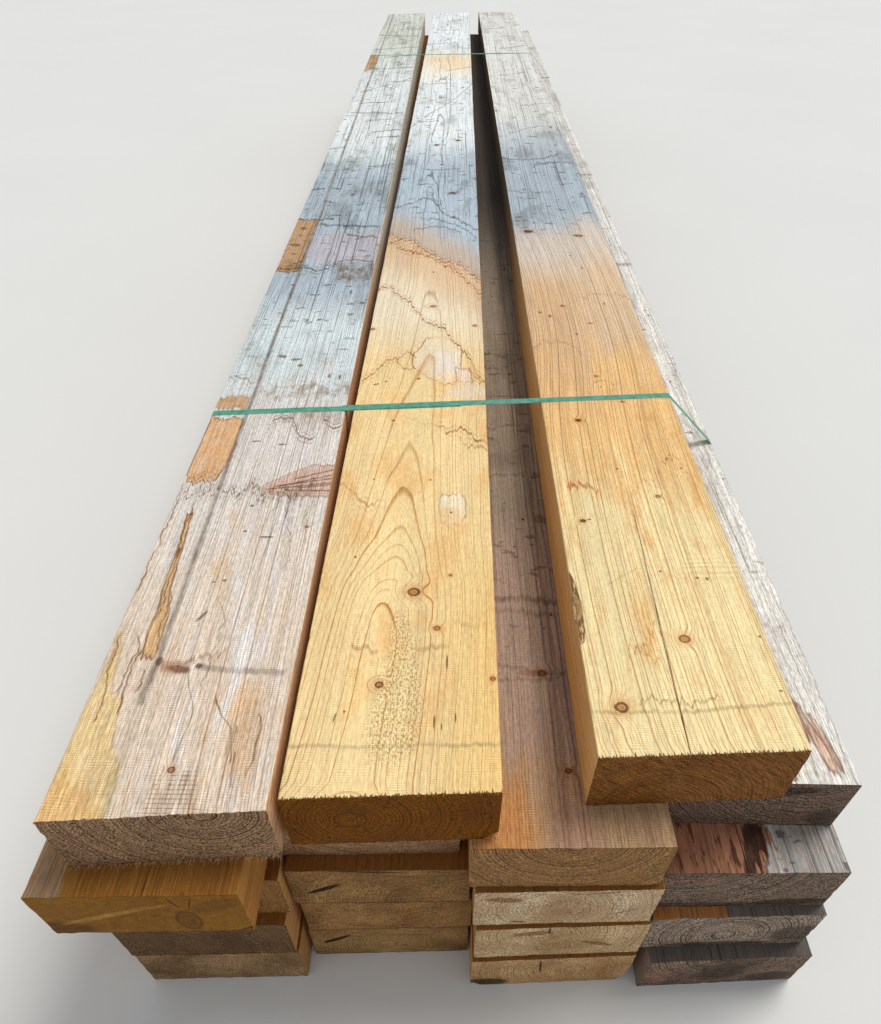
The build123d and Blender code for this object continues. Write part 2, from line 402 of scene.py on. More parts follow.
        def stroke(across, along, ragged, sway, patchy):
            across, along = self.frayed(across, along, ragged, sway, jag)
            away = self.size(self.minus(along, self.curve(across, points)))
            inside = self.most(self.minus(points[0][0], across), self.minus(across, points[-1][0]))
            share = self.smooth(away, width, 0.2 * width)
            if echo:
                beside = self.smooth(self.size(self.minus(away, 2.4 * width)), 0.6 * width, 0.1 * width)
                share = self.most(share, self.times(beside, self.times(patchy, echo)))
            return (self.faded(self.times(share, self.smooth(inside, 4, 0)), patchy),)

        share = self.group(stroke, self.across, self.along, self.ragged, self.sway, self.patchy)[0]
        self.stain(share, colour, strength)

    def run(self, points, colour, strength, width=2, jag=6):
        """A thin line along the beam, through points of its distance along and across."""

        def stroke(across, along, sway, patchy):
            away = self.size(self.minus(self.scaled(sway, jag, across), self.curve(along, points)))
            inside = self.most(self.minus(points[0][0], along), self.minus(along, points[-1][0]))
            share = self.times(self.smooth(away, width, 0.2 * width), self.smooth(inside, 8, 0))
            return (self.faded(share, patchy),)

        share = self.group(stroke, self.across, self.along, self.sway, self.patchy)[0]
        self.stain(share, colour, strength)

    def spot(self, across, along, half_across, half_along, colour, strength, tilt=0.0):
        """A small dark oval, such as a pin knot, a scar or a short streak."""
        away = self.oval(self.across, self.along, (across, along), (half_across, half_along), tilt)
        self.stain(self.smooth(self.scaled(self.ragged, 0.4, away), 1.0, 0.5), colour, strength)

    def spots(self, colour, strength, *places):
        """Spots of one colour, each given by its place, its half sizes and, where it has one, its tilt."""
        for across, along, half_across, half_along, *tilt in places:
            self.spot(across, along, half_across, half_along, colour, strength, *tilt)

    def end_mark(self, across, up, half_across, half_up, colour, strength, tilt=0.0, hollow=False):
        """An oval on the end, such as a split, a cut knot or a stain; a hollow one is only its rim."""
        away = self.oval(self.across, self.up, (across, up), (half_across, half_up), tilt)
        away = self.scaled(self.sway, 0.5, away)
        if hollow:
            share = self.smooth(self.size(self.minus(away, 1.0)), 0.22, 0.05)
        else:
            share = self.smooth(away, 1.05, 0.6)
        self.stain(self.times(share, self.end), colour, strength)

    def island(self, rows, colours=None, rim=None, strength=0.6, soft=2, jag=12):
        """A patch of other colours with the brown line that a drying stain leaves round it."""
        outside = self.patch(rows, jag)
        if colours:
            through = self.scaled(self.patchy, 0.35, 0.65)
            self.zone(self.times(self.smooth(outside, soft, -soft), through), *colours)
        if rim:
            self.stain(self.faded(self.smooth(self.size(outside), 3, 0.5), self.patchy), rim, strength)

    def tinted(self, red, green, blue):
        """The pale wood of the place, darkened towards another colour."""
        return self.vector("MULTIPLY", self.pale, (red, green, blue))

    def lay_knots(self):
        """A reddish halo, a brown heart with its own fine rings and a dark ring of bark about each knot."""
        near = self.scaled(self.ragged, 0.2, self.nearest)
        own_rings = self.maths("FRACT", self.times(near, 2.6))
        heart = self.mix(own_rings, self.tinted(0.70, 0.45, 0.30), self.tinted(0.36, 0.21, 0.13))
        bark = self.tinted(0.13, 0.07, 0.045)
        self.stain(self.smooth(near, 3.4, 0.9), self.tinted(0.78, 0.56, 0.42), 0.65)
        self.stain(self.smooth(near, 1.1, 0.95), heart, 0.9)
        rim = self.smooth(self.size(self.minus(near, 0.95)), 0.36, 0.1)
        self.stain(self.times(rim, self.scaled(self.patchy, 0.5, 0.5)), bark, 0.9)

    def grime(self, share, strength=0.6, marks=0.62, splits=0.60):
        """Weathering where share is one: clouds of dirt, short dark marks across the fibres, and fine splits
        along them. The fewer of these, the higher the values of marks and splits."""
        dirt = self.clouds(11, 4.5, 11, self.seed + 17, detail=4, roughness=0.6)
        self.stain(self.times(self.smooth(dirt, 0.50, 0.68), share), self.tinted(0.52, 0.5, 0.47), strength)
        dashes = self.clouds(26, 42, 26, self.seed + 11, roughness=0.6)
        cracks = self.clouds(190, 1.5, 190, self.seed + 13, roughness=0.6)
        dashes = self.smooth(dashes, marks, marks + 0.05)
        cracks = self.smooth(cracks, splits, splits + 0.06)
        self.stain(self.times(self.most(dashes, cracks), share), self.tinted(0.2, 0.18, 0.16), strength)

    def weather_sides(self, strength):
        """Damp clouds, drier stretches and scattered knots on the sides, from a little behind the front."""
        beyond = self.times(self.side, self.past(50, 500))
        damp = self.clouds(3, 0.8, 14, self.seed + 21, detail=3, roughness=0.65)
        dry = self.clouds(2, 0.5, 6, self.seed + 23, detail=3)
        self.stain(self.times(self.smooth(dry, 0.50, 0.66), beyond), tone(200, 180, 154), 0.6 * strength)
        self.stain(self.times(self.smooth(damp, 0.47, 0.64), beyond), self.tinted(0.55, 0.54, 0.55), strength)
        _, along, up = self.node("SeparateXYZ", self.stretch(self.here, 0, 2.2, 3.4, self.seed)).outputs
        place = self.node("CombineXYZ", along, up, 0.0).outputs[0]
        cells = self.node("TexVoronoi", place, voronoi_dimensions="2D")
        cells.inputs["Scale"].default_value = 1.0
        away = self.scaled(self.ragged, 0.01, cells.outputs["Distance"])
        self.stain(self.times(self.smooth(away, 0.14, 0.04), beyond), self.tinted(0.78, 0.58, 0.44), 0.5)
        self.stain(self.times(self.smooth(away, 0.045, 0.035), beyond), self.tinted(0.34, 0.20, 0.12), 0.85)

    def notch(self, depth):
        """The dark foot of the torn fibres along the front end's upper arris."""
        comb = self.clouds(330, 12, 0, self.seed, detail=1)
        behind = self.scaled(self.across, -self.beam.front_skew / self.beam.width, self.along)
        cut_in = self.minus(behind, self.times(self.minus(comb, 0.42), 5.5 * depth))
        self.stain(self.smooth(cut_in, 1.2, 0.0), tone(88, 56, 26), 0.85)

    def cut_end(self, colours, marks, seam, broad):
        """The end grain: its colours, its marks, and a dark band of painted shade along its upper and lower
        edges, as where beams lie on each other.
        """
        pale, dark, middling = colours[0], colours[1], colours[-1]
        self.zone(self.end, self.mix(self.spread(broad, 0, 1), pale, middling), dark)
        for mark in marks:
            self.end_mark(*mark)
        # Painted shade: a dark band along the end's upper and lower edges, as in the crease between stacked
        # beams, wider on the set-back beams of the second column
        edge = self.scaled(self.sway, seam, self.maths("PINGPONG", self.up, 0.5 * self.height))
        rim = self.smooth(edge, seam, 0.3 * seam)
        self.stain(self.times(rim, self.end), self.tinted(0.16, 0.12, 0.10), 0.85)

    def complete(self, ends, sides, contrast=0.6, saw=0.08, fibre=0.12, end_contrast=0.8, speckle=0.5,
                 coarse=0.12, pores=0.16, scratch=None, notched=0.0, far_sides_greying_and_light=None, seam=2, end_marks=(),
                 weathered=0.0):
        """Closes the finish with the sides, the end grain and everything fine, and returns the material."""
        if self.nearest:
            self.lay_knots()
        if notched:
            self.notch(notched)
        self.zone(self.side, *sides)
        # The sides change towards the far end: grey weathering, and on two beams painted light, sunlight on
        # the left beam and shade deep in the gap on the right beam
        if far_sides_greying_and_light:
            self.zone(self.times(self.side, self.past(900, 2600)), *far_sides_greying_and_light)
        if weathered:
            self.weather_sides(weathered)
        broad = self.clouds(9, 1.3, 9, self.seed + 1, detail=3)
        self.cut_end(ends, end_marks, seam, broad)
        on_face = self.minus(1.0, self.end)
        depth = self.node("Mix", self.end, None, contrast, end_contrast).outputs[0]
        colour = self.mix(self.maths("MULTIPLY", self.rings, depth, clamp=True), self.pale, self.dark)

        # The saw's teeth, which weather away along the beam
        weave = self.spread(self.clouds(90, 45, 90, self.seed + 9), -0.3, 1.3)
        teeth = self.wave(self.scaled(self.sway, 14, self.along), SAW_PITCH)
        teeth = self.times(teeth, self.times(weave, self.past(2200, 500)))
        marks = self.times(on_face, self.scaled(teeth, saw, -0.3 * saw))

        # Fibres, streaks and pores
        strands = self.clouds(430, 9, 430, self.seed, detail=3, roughness=0.65)
        streaks = self.clouds(75, 1.1, 75, self.seed + 3, detail=3, roughness=0.7)
        pitted = self.clouds(400, 85, 400, self.seed + 15, detail=1, roughness=0.7)
        shade = self.times(self.spread(broad, 0.92, 1.06), self.spread(strands, 1 - fibre, 1 + 0.5 * fibre))
        shade = self.times(shade, self.spread(streaks, 1 - coarse, 1 + 0.6 * coarse))
        shade = self.times(shade, self.spread(pitted, 1 - pores, 1 + 0.7 * pores))
        shade = self.times(shade, self.plus(marks, 1.0))

        # The rough of the end, and its scratches from the saw
        grit = self.clouds(420, 420, 420, detail=1, roughness=0.6)
        flecked = self.node("MapRange", grit, 0.36, 0.64, -speckle, speckle, clamp=True).outputs[0]
        rough = self.times(self.end, flecked)
        if scratch:
            angle, strength = scratch
            turned = (0, math.radians(-angle), 0)
            stroke = (40 * MM, 1.0, 2.2 * MM)
            made = self.node("Mapping", self.here, (0, 0, 0), turned, stroke, vector_type="TEXTURE")
            scored = self.spread(self.cloud(made.outputs[0], detail=1), -strength, strength)
            rough = self.plus(rough, self.times(scored, self.end))
        shade = self.times(shade, self.plus(rough, 1.0))

        # The relief has simpler fibres and saw marks of its own, which render faster than those of the colour
        combed = self.clouds(430, 9, 430, self.seed, detail=1, roughness=0.65)
        ridges = self.times(on_face, self.wave(self.along, SAW_PITCH))
        height = self.plus(self.times(combed, 0.8), self.times(ridges, saw))
        height = self.plus(height, self.times(self.end, grit))
        self.shader.inputs["Specular IOR Level"].default_value = 0.08
        colour = self.vector("SCALE", colour, scale=shade)
        self.cover(colour, self.spread(strands, 0.62, 0.86), height, WOOD_RELIEF, 0.7)
        return self.material


# Making the beams


def steps(*stretches):
    """Distances from the start of each stretch to its finish, one pitch apart."""
    found = []
    for start, finish, pitch in stretches:
        count = max(1, round((finish - start) / pitch))
        found += [start + (finish - start) * index / count for index in range(count)]
    return found


def cut(mesh, place, direction, **clear):
    everything = mesh.verts[:] + mesh.edges[:] + mesh.faces[:]
    bmesh.ops.bisect_plane(
        mesh, geom=everything, plane_co=place, plane_no=direction, dist=SAME_PLACE, **clear,
    )


def add_to(mesh, part):
    """Adds one mesh to another, and empties it."""
    passed = bpy.data.meshes.new("passed")
    part.to_mesh(passed)
    part.free()
    mesh.from_mesh(passed)
    bpy.data.meshes.remove(passed)


def slice_up(mesh, beam, stations, column, row):
    """Cuts a beam's faces into small ones: in columns and rows along it, then across it at the stations.
    The stations are cut a batch at a time, which is quicker on small meshes."""
    for across in steps((column, beam.width, column)):
        cut(mesh, (across, 0, 0), (1, 0, 0))
    for up in steps((row, beam.height, row)):
        cut(mesh, (0, 0, up), (0, 0, 1))
    strips = bpy.data.meshes.new("strips")
    mesh.to_mesh(strips)
    mesh.clear()
    planes = []
    for along in stations:
        skew = beam.front_skew + (beam.rear_skew - beam.front_skew) * along / beam.length
        planes.append(((0, along, 0), (-skew, beam.width, 0)))
    batch = 20
    for first in range(0, len(planes), batch):
        part = bmesh.new()
        part.from_mesh(strips)
        if first + batch < len(planes):
            cut(part, *planes[first + batch], clear_outer=True)
        if first > 0:
            cut(part, *planes[first], clear_inner=True)
        for plane in planes[first + (first > 0):first + batch]:
            cut(part, *plane)
        add_to(mesh, part)
    bpy.data.meshes.remove(strips)
    bmesh.ops.remove_doubles(mesh, verts=mesh.verts, dist=SAME_PLACE)


def wear(mesh, beam, checks, torn):
    """Rough sawing and wear, always inwards: uneven faces, nibbled arrises, torn ends and wandering checks.
    The unevenness has waves to the metre."""
    half_width, half_height = beam.width / 2, beam.height / 2
    own = Vector((beam.corner.x * 3, 0, beam.corner.z * 3))

    def uneven(*place):
        return noise.noise(Vector(place) + own)

    for vertex in mesh.verts:
        across, along, up = vertex.co
        side, level = across - half_width, up - half_height
        at_side = min(1.0, abs(side) / half_width) ** 14
        at_level = min(1.0, abs(level) / half_height) ** 14
        low = uneven(across * 7, along * 1.2, up * 7)
        fine = uneven(across * 34, along * 8, up * 34)
        hollow = (0.5 + 0.4 * low + 0.2 * fine) * FACE_HOLLOW
        edge = (at_side * at_level) ** 1.5
        nibble = uneven(along * 11, side * 30, level * 30)
        chip = uneven(along * 70, side * 30, level * 30)
        eased = edge * (0.8 * max(0.0, nibble) ** 0.5 + 0.5 * max(0.0, chip)) * ARRIS_NIBBLE
        vertex.co.x -= math.copysign(at_side * hollow + eased, side)
        vertex.co.z -= math.copysign(at_level * hollow + eased, level)
        if along - beam.along_end(across) < MM:
            ragged = uneven(across * 170, up * 170, 3)
            relief = uneven(across * 40, up * 60, 5)
            rim = max(at_side, at_level) ** 2
            vertex.co.y += (0.35 + 0.3 * relief) * END_HOLLOW + rim * max(0.0, 0.35 + ragged) * torn
        for start, finish in checks:
            share = (along - start[1]) / (finish[1] - start[1])
            line = start[0] + (finish[0] - start[0]) * share
            near = math.exp(-(((across - line) / CHECK_REACH) ** 2))
            near *= max(0.0, (up - beam.height + CHECK_DEPTH) / CHECK_DEPTH)
            stray = noise.noise(Vector((along * 1.7, line, 1))) * CHECK_STRAY
            stray += noise.noise(Vector((along * 9, 4, 2))) * CHECK_QUIVER
            inside = max(0.0, min(1.0, share * 8, (1 - share) * 8))
            vertex.co.x += near * stray * inside


def splinters(mesh, beam, edge, count, reach, thickness, seed):
    """Torn fibres that stand out from the lower or upper edge of the front end."""
    luck = random.Random(seed)
    fibres = bmesh.new()
    for _ in range(count):
        across = luck.uniform(2 * MM, beam.width - 2 * MM)
        length = reach * luck.uniform(0.25, 1.0) ** 2
        up = luck.uniform(0.2, 1.6) * MM
        if edge == "upper":
            up = beam.height - luck.uniform(0.6, 1.6) * MM
        place = Vector((across, beam.along_end(across) + MM, up))
        aim = Vector((luck.uniform(-0.7, 0.7), -1, luck.uniform(-0.1, 0.35)))
        if edge == "upper":
            aim.z = luck.uniform(-0.3, 0.15)
        turn = aim.to_track_quat("Z", "Y").to_matrix().to_4x4()
        middle = Matrix.Translation(place + aim.normalized() * (length / 2 - FIBRE_ROOT))
        radius = thickness * luck.uniform(0.5, 1.0)
        bmesh.ops.create_cone(
            fibres, cap_ends=True, segments=3, radius1=radius, radius2=radius * 0.2,
            depth=length + 2 * FIBRE_ROOT, matrix=middle @ turn,
        )
    add_to(mesh, fibres)


def saw_beam(beam, material, grid, checks=(), torn=1.5 * MM, fibres=()):
    """The beam's packed form, cut up fine, worn and splintered, in place of its plain node."""
    mesh = bmesh.new()
    mesh.from_mesh(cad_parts[beam.node].data)
    bmesh.ops.remove_doubles(mesh, verts=mesh.verts, dist=0.1 * SAME_PLACE)
    bmesh.ops.dissolve_limit(mesh, angle_limit=0.01, verts=mesh.verts, edges=mesh.edges)
    bmesh.ops.transform(mesh, matrix=beam.to_own, verts=mesh.verts)
    stations = steps(
        (grid["near"], grid["front"], grid["near"]),
        (grid["front"], MIDDLE_END, grid["middle"]),
        (MIDDLE_END, beam.length, grid["far"]),
    )
    slice_up(mesh, beam, stations, grid["column"], grid["row"])
    wear(mesh, beam, checks, torn)
    for row in fibres:
        splinters(mesh, beam, *row)
    bmesh.ops.triangulate(mesh, faces=[face for face in mesh.faces if len(face.verts) > 4])
    bmesh.ops.transform(mesh, matrix=beam.from_own, verts=mesh.verts)
    place_piece(beam.node + "_sawn", mesh, material, beam.node)


def place_piece(name, mesh, material, node):
    """Puts a finished mesh in the scene in place of a node of the frame."""
    data = bpy.data.meshes.new(name)
    mesh.to_mesh(data)
    mesh.free()
    for face in data.polygons:
        face.use_smooth = True
    data.set_sharp_from_angle(angle=SHARP_ANGLE)
    piece = bpy.data.objects.new(name, data)
    bpy.context.scene.collection.objects.link(piece)
    data.materials.append(material)
    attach(piece, "root")
    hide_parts(node)


# Colours that several beams share

TAN = tone(218, 174, 122), tone(176, 128, 82)
# The tops of the lower beams: tan wood darkened with painted shade, since they show only as thin ledges under
# the beams above
TAN_FACE_PAINTED_SHADE = tone(140, 92, 44), tone(92, 56, 22)
TAN_SIDE = tone(206, 156, 98), tone(160, 110, 60)
GREY_SIDE = tone(150, 130, 112), tone(104, 86, 72)
RUST = tone(132, 88, 50)
SOOT = tone(92, 82, 74)
TIDE = tone(158, 92, 38)
BROWN = tone(108, 80, 56)
CRACK = tone(26, 16, 10)
SCAR = tone(116, 76, 44)


# The three beams of the top tier


def left_zones(wood):
    """Sun-bleached wood: pinkish near the front, then bluish with one darker stretch, and white at last."""
    wood.zone(wood.past(250, 750, 200), tone(238, 230, 222), tone(164, 142, 124))
    wood.zone(wood.past(850, 1150, 200), tone(234, 245, 246), tone(146, 148, 148))
    shaded = wood.times(wood.past(1300, 1600), wood.past(3000, 2500))
    wood.zone(shaded, tone(192, 206, 216), tone(120, 126, 134))
    wood.zone(wood.past(2700, 3200), tone(250, 255, 255), tone(160, 164, 166))
    wood.zone(wood.past(4000, 5500), tone(236, 240, 228), tone(120, 118, 110))
    wood.island([(1760, 80, 310), (2000, 80, 310)], (tone(204, 200, 208), tone(150, 140, 142)), jag=40)


def left_patches(wood):
    """Golden wood along the left side, where something lay on it and kept off the weather."""
    golden = tone(244, 214, 156), tone(218, 168, 100)
    wood.island(
        [(-20, -20, 88), (90, -20, 86), (112, -20, 64), (145, -20, 60),
         (183, 2, 52), (202, 6, 34), (250, 10, 26), (300, 6, 10)],
        golden, RUST, 0.35, soft=9, jag=34,
    )
    glow = [(-50, -20, 85), (20, -20, 70), (40, -20, 45), (60, -20, 10)]
    glow = wood.smooth(wood.patch(glow, 30), 24, -18)
    wood.zone(wood.times(glow, 0.6), tone(240, 188, 118), tone(206, 142, 78))
    wood.island(
        [(262, 58, 76), (306, 53, 77), (345, 53, 75), (385, 49, 64),
         (445, 47, 59), (500, 46, 55), (600, 36, 46)],
        (tone(232, 188, 132), tone(190, 134, 80)), RUST, 0.9, jag=26,
    )
    wood.island(
        [(690, 20, 66), (720, 3, 71), (800, 4, 78), (915, 2, 74)],
        (tone(242, 190, 138), tone(214, 156, 102)), RUST, 0.8, jag=24,
    )
    wood.island([(955, -10, 71), (1000, -10, 71)], TAN, RUST, 0.4, jag=24)
    wood.island(
        [(1690, -20, 69), (1760, -20, 70), (2118, -20, 75)],
        (tone(206, 160, 110), tone(160, 114, 72)), tone(92, 66, 44), 0.8, jag=22,
    )
    wood.island([(4550, -20, 45), (4800, -20, 60), (5020, -20, 30)], TAN, jag=60)
    wood.island(
        [(60, 236, 262), (125, 228, 270), (163, 206, 266), (192, 190, 260)],
        (tone(236, 200, 160), tone(196, 142, 96)), soft=16, jag=60,
    )


def left_fibres(wood):
    """Mottled weathering near the front, lifted fibres, and the crossed marks that a sling left."""
    mottle = wood.clouds(24, 5, 24, 6.0, detail=4, roughness=0.65)
    upper = wood.smooth(wood.across, 85, 105)
    upper = wood.times(upper, wood.past(1300, 900))
    wood.zone(wood.times(wood.smooth(mottle, 0.52, 0.66), upper), tone(244, 236, 230), tone(166, 150, 140))
    tanned = wood.times(wood.smooth(mottle, 0.46, 0.36), wood.past(900, 500))
    wood.zone(wood.times(tanned, upper), tone(234, 208, 178), tone(170, 130, 98))
    for edge in (
        [(100, 228), (133, 226), (163, 205), (191, 190)], [(90, 236), (140, 232)],
        [(70, 262), (130, 268), (160, 262)], [(55, 244), (100, 240)],
    ):
        wood.run(edge, RUST, 0.8, width=2.5, jag=9)
    for edge in (
        [(280, 74), (330, 70), (400, 66)], [(340, 56), (420, 54), (500, 50)],
        [(165, 56), (200, 52), (270, 50)], [(200, 40), (250, 46), (300, 42)],
        [(150, 28), (220, 20), (300, 12)], [(480, 50), (560, 44), (620, 42)],
        [(400, 4), (550, 8), (680, 6)], [(200, 73), (235, 70)],
    ):
        wood.run(edge, tone(140, 92, 50), 0.9, width=2.4, jag=22)
    for edge in (
        [(460, 252), (540, 243), (600, 226), (630, 212)], [(560, 190), (600, 196), (630, 206)],
        [(520, 275), (600, 262)], [(875, 150), (930, 140)], [(860, 238), (940, 232)],
        [(850, 262), (920, 258)], [(870, 212), (950, 216)], [(200, 162), (280, 170), (380, 150)],
    ):
        wood.run(edge, tone(158, 126, 98), 0.6, width=2.2, jag=30)
    plaid = wood.smooth(wood.patch([(12, 130, 222), (66, 146, 196)], 60), 12, -8)
    hatch, rows = wood.wave(wood.across, 7), wood.wave(wood.along, 6.5)
    plaid = wood.times(plaid, wood.spread(mottle, 0.2, 1.4))
    wood.stain(wood.times(plaid, wood.smooth(hatch, -1.0, 0.9, 0.25, 1.0)), tone(142, 112, 84), 0.6)
    wood.stain(wood.times(plaid, wood.smooth(rows, 0.1, 0.9)), tone(128, 98, 72), 0.6)
    wood.run([(0, 90), (120, 84), (240, 80)], tone(160, 140, 100), 0.35, width=9)


def left_lines(wood):
    """The groove, the knot with its crack, the fan of splits and the brown lines that water left."""
    groove = [(180, 84), (350, 83.5), (667, 80), (1200, 77), (2000, 73), (3350, 64), (6700, 42)]
    wood.run(groove, tone(110, 98, 88), 0.75, width=8, jag=4)
    wood.spot(112, 243, 34, 17, tone(190, 146, 118), 0.8, -8)
    wood.spot(120, 240, 27, 9, tone(134, 92, 70), 0.85, -10)
    wood.spot(88, 254, 9, 12, tone(92, 62, 44), 0.75)
    wood.spot(152, 246, 7, 6, tone(120, 86, 66), 0.8)
    wood.line([(150, 246), (180, 240), (285, 234)], SOOT, 0.55, width=9, jag=5)
    wood.line([(130, 252), (155, 262), (186, 270)], tone(166, 118, 92), 0.7, width=7, jag=24)
    wood.run([(90, 158), (124, 160), (155, 164), (203, 148), (240, 137)], SOOT, 0.55)
    wood.island([(646, 205, 310), (668, 165, 310), (700, 190, 310), (742, 250, 310)],
                (tone(226, 190, 170), tone(160, 116, 96)), tone(110, 82, 64), 0.5, soft=6, jag=7)
    for left, front, rear in (
        (176, 667, 690), (190, 676, 704), (206, 680, 716), (215, 664, 664), (226, 700, 733), (238, 672, 684),
    ):
        wood.line([(left, front), (310, rear)], tone(124, 80, 64), 0.9, width=4, jag=3)
    for points, strength, width, jag in (
        ([(88, 676), (130, 668), (195, 640), (262, 646)], 0.95, 7, 60),
        ([(100, 660), (160, 645), (220, 625), (290, 630)], 0.6, 5, 80),
        ([(-10, 665), (40, 660), (80, 668)], 0.9, 6, 60),
        ([(139, 865), (145, 905), (170, 914), (196, 884), (218, 842), (242, 838),
          (250, 875), (262, 902), (274, 873), (295, 890)], 0.85, 6, 14),
        ([(0, 1096), (43, 1068), (66, 1048)], 0.6, 7, 24),
        ([(-10, 712), (30, 704), (70, 716)], 0.5, 6, 26),
        ([(0, 1706), (81, 1714), (138, 1706), (171, 1733), (222, 1778), (292, 1760)],
         0.85, 9, 18),
    ):
        wood.line(points, BROWN, strength, width, jag, echo=0.7)
    above = wood.patch([(875, 205, 262), (910, 150, 310), (955, 145, 310)], 40)
    wood.stain(wood.times(wood.smooth(above, 6, -20), wood.patchy), tone(150, 122, 92), 0.5)
    mottled = wood.smooth(wood.patch([(985, 80, 310), (1070, 90, 310)], 60), 8, -20)
    wood.stain(wood.times(mottled, wood.smooth(wood.patchy, 0.5, 0.9)), tone(150, 126, 96), 0.6)
    brown = wood.smooth(wood.patch([(1610, 190, 310), (1750, 180, 310)], 60), 20, -20)
    wood.stain(wood.times(brown, wood.patchy), tone(132, 110, 92), 0.8)


def left_dirt(wood):
    """Soot, scuffs and grime, farther along."""
    wood.spots(
        SOOT, 0.75, (121, 826, 12, 4, 8), (178, 815, 13, 4), (201, 532, 15, 3.5), (158, 547, 5, 3),
        (156, 618, 5, 4, 20), (131, 345, 16, 4, 60), (149, 424, 5, 4), (131, 420, 4, 2),
        (147, 1376, 8, 6, 20), (93, 1338, 14, 4), (180, 1380, 10, 5), (159, 1302, 4, 5),
        (155, 1531, 7, 6, 20), (171, 1595, 16, 6, 20), (247, 1547, 5, 24), (262, 1220, 20, 4),
    )
    wood.spots(
        tone(112, 86, 56), 0.75, (112, 1183, 17, 11, -20), (150, 1168, 18, 7, 10), (166, 1140, 9, 8),
        (243, 1091, 7, 16), (269, 1086, 5, 16),
    )
    for points, width, strength in (
        ([(-10, 2125), (72, 2118), (125, 2130)], 12, 0.8),
        ([(83, 2073), (151, 2062), (242, 2057), (288, 2051)], 15, 0.85),
        ([(178, 2010), (223, 1966), (288, 1966)], 14, 0.75), ([(33, 3561), (290, 3559)], 18, 0.6),
        ([(36, 3997), (300, 4340)], 18, 0.6), ([(166, 3210), (300, 3267)], 16, 0.65),
        ([(193, 3135), (300, 3153)], 16, 0.6), ([(76, 4584), (300, 4647)], 22, 0.55),
        ([(20, 5200), (300, 5300)], 26, 0.5), ([(100, 2550), (160, 2560)], 8, 0.5),
        ([(20, 2660), (100, 2655)], 8, 0.5), ([(-10, 2420), (50, 2440)], 12, 0.8),
        ([(-10, 2950), (70, 2980)], 14, 0.7), ([(200, 2700), (300, 2740)], 12, 0.7),
        ([(50, 3750), (200, 3780)], 16, 0.6), ([(180, 4250), (300, 4270)], 18, 0.7),
        ([(100, 4950), (300, 5020)], 22, 0.7), ([(0, 5750), (240, 5700)], 26, 0.5),
        ([(120, 3420), (240, 3440)], 12, 0.6),
    ):
        wood.line(points, SOOT, strength, width, 20)
    wood.grime(wood.past(800, 1600), 0.7)
    wood.run([(1733, 145), (1864, 163), (2051, 154), (2177, 143), (2313, 154)], SOOT, 0.9)


def left_top_beam():
    """The left beam: sun-bleached, with golden patches left of the groove that runs all along it."""
    beam = Beam("top_tier_beam_1")
    wood = Timber(
        beam, tone(240, 222, 202), tone(196, 156, 122), ring=4.6, line=0.55, seed=4.0,
        pith=[(0, 225, 142), (1000, 212, 144), (3000, 240, 142), (6700, 200, 140)],
        knots=[(159, 75, 5), (270, 560, 3)],
    )
    for lay in (left_zones, left_patches, left_fibres, left_lines, left_dirt):
        lay(wood)
    material = wood.complete(
        (tone(178, 142, 106), tone(76, 54, 38), tone(150, 118, 90)),
        (tone(236, 190, 144), tone(186, 128, 86)),
        contrast=0.8, saw=0.15, fibre=0.36, coarse=0.16, pores=0.24, end_contrast=0.95, speckle=0.7,
        # Painted sunlight on the far part of the sides, over bleached cream wood
        far_sides_greying_and_light=(tone(255, 248, 230), tone(190, 160, 128)),
    )
    checks = [((85 * MM, 0.15), (42 * MM, beam.length)), ((150 * MM, 2.0), (130 * MM, 4.4))]
    fibres = [("lower", 240, 9 * MM, 1.1 * MM, 11), ("upper", 80, 3 * MM, 0.5 * MM, 12)]
    saw_beam(beam, material, FINE, checks, 2.2 * MM, fibres)


def middle_zones(wood):
    """Golden wood that turns grey and bluish beyond two ragged tide lines."""
    wood.zone(wood.past(900, 1600, 200), tone(242, 214, 166), tone(176, 128, 80))
    wood.zone(wood.past(1100, 1400), tone(248, 232, 202), tone(178, 134, 90))
    low = [(0, 1885), (77, 1812), (113, 1787), (165, 1737), (233, 1635), (253, 1597), (300, 1500)]
    high = [(0, 1930), (76, 1883), (106, 1847), (158, 1770), (199, 1729), (266, 1658), (300, 1580)]
    beyond = wood.border(high, 30)
    wood.zone(wood.smooth(beyond, -380, -120), tone(232, 200, 162), tone(182, 132, 88))
    wood.zone(wood.smooth(beyond, -5, 20), tone(204, 186, 168), tone(124, 106, 94))
    wood.zone(wood.smooth(beyond, 80, 300), tone(190, 204, 216), tone(110, 118, 126))
    wood.line(high, TIDE, 1.0, 11, 44, echo=0.8)
    wood.line(low, TIDE, 1.0, 10, 44, echo=0.6)
    wood.zone(wood.past(2600, 3200), tone(246, 252, 252), tone(132, 132, 130))
    wood.grime(wood.smooth(beyond, 100, 400), 0.65)


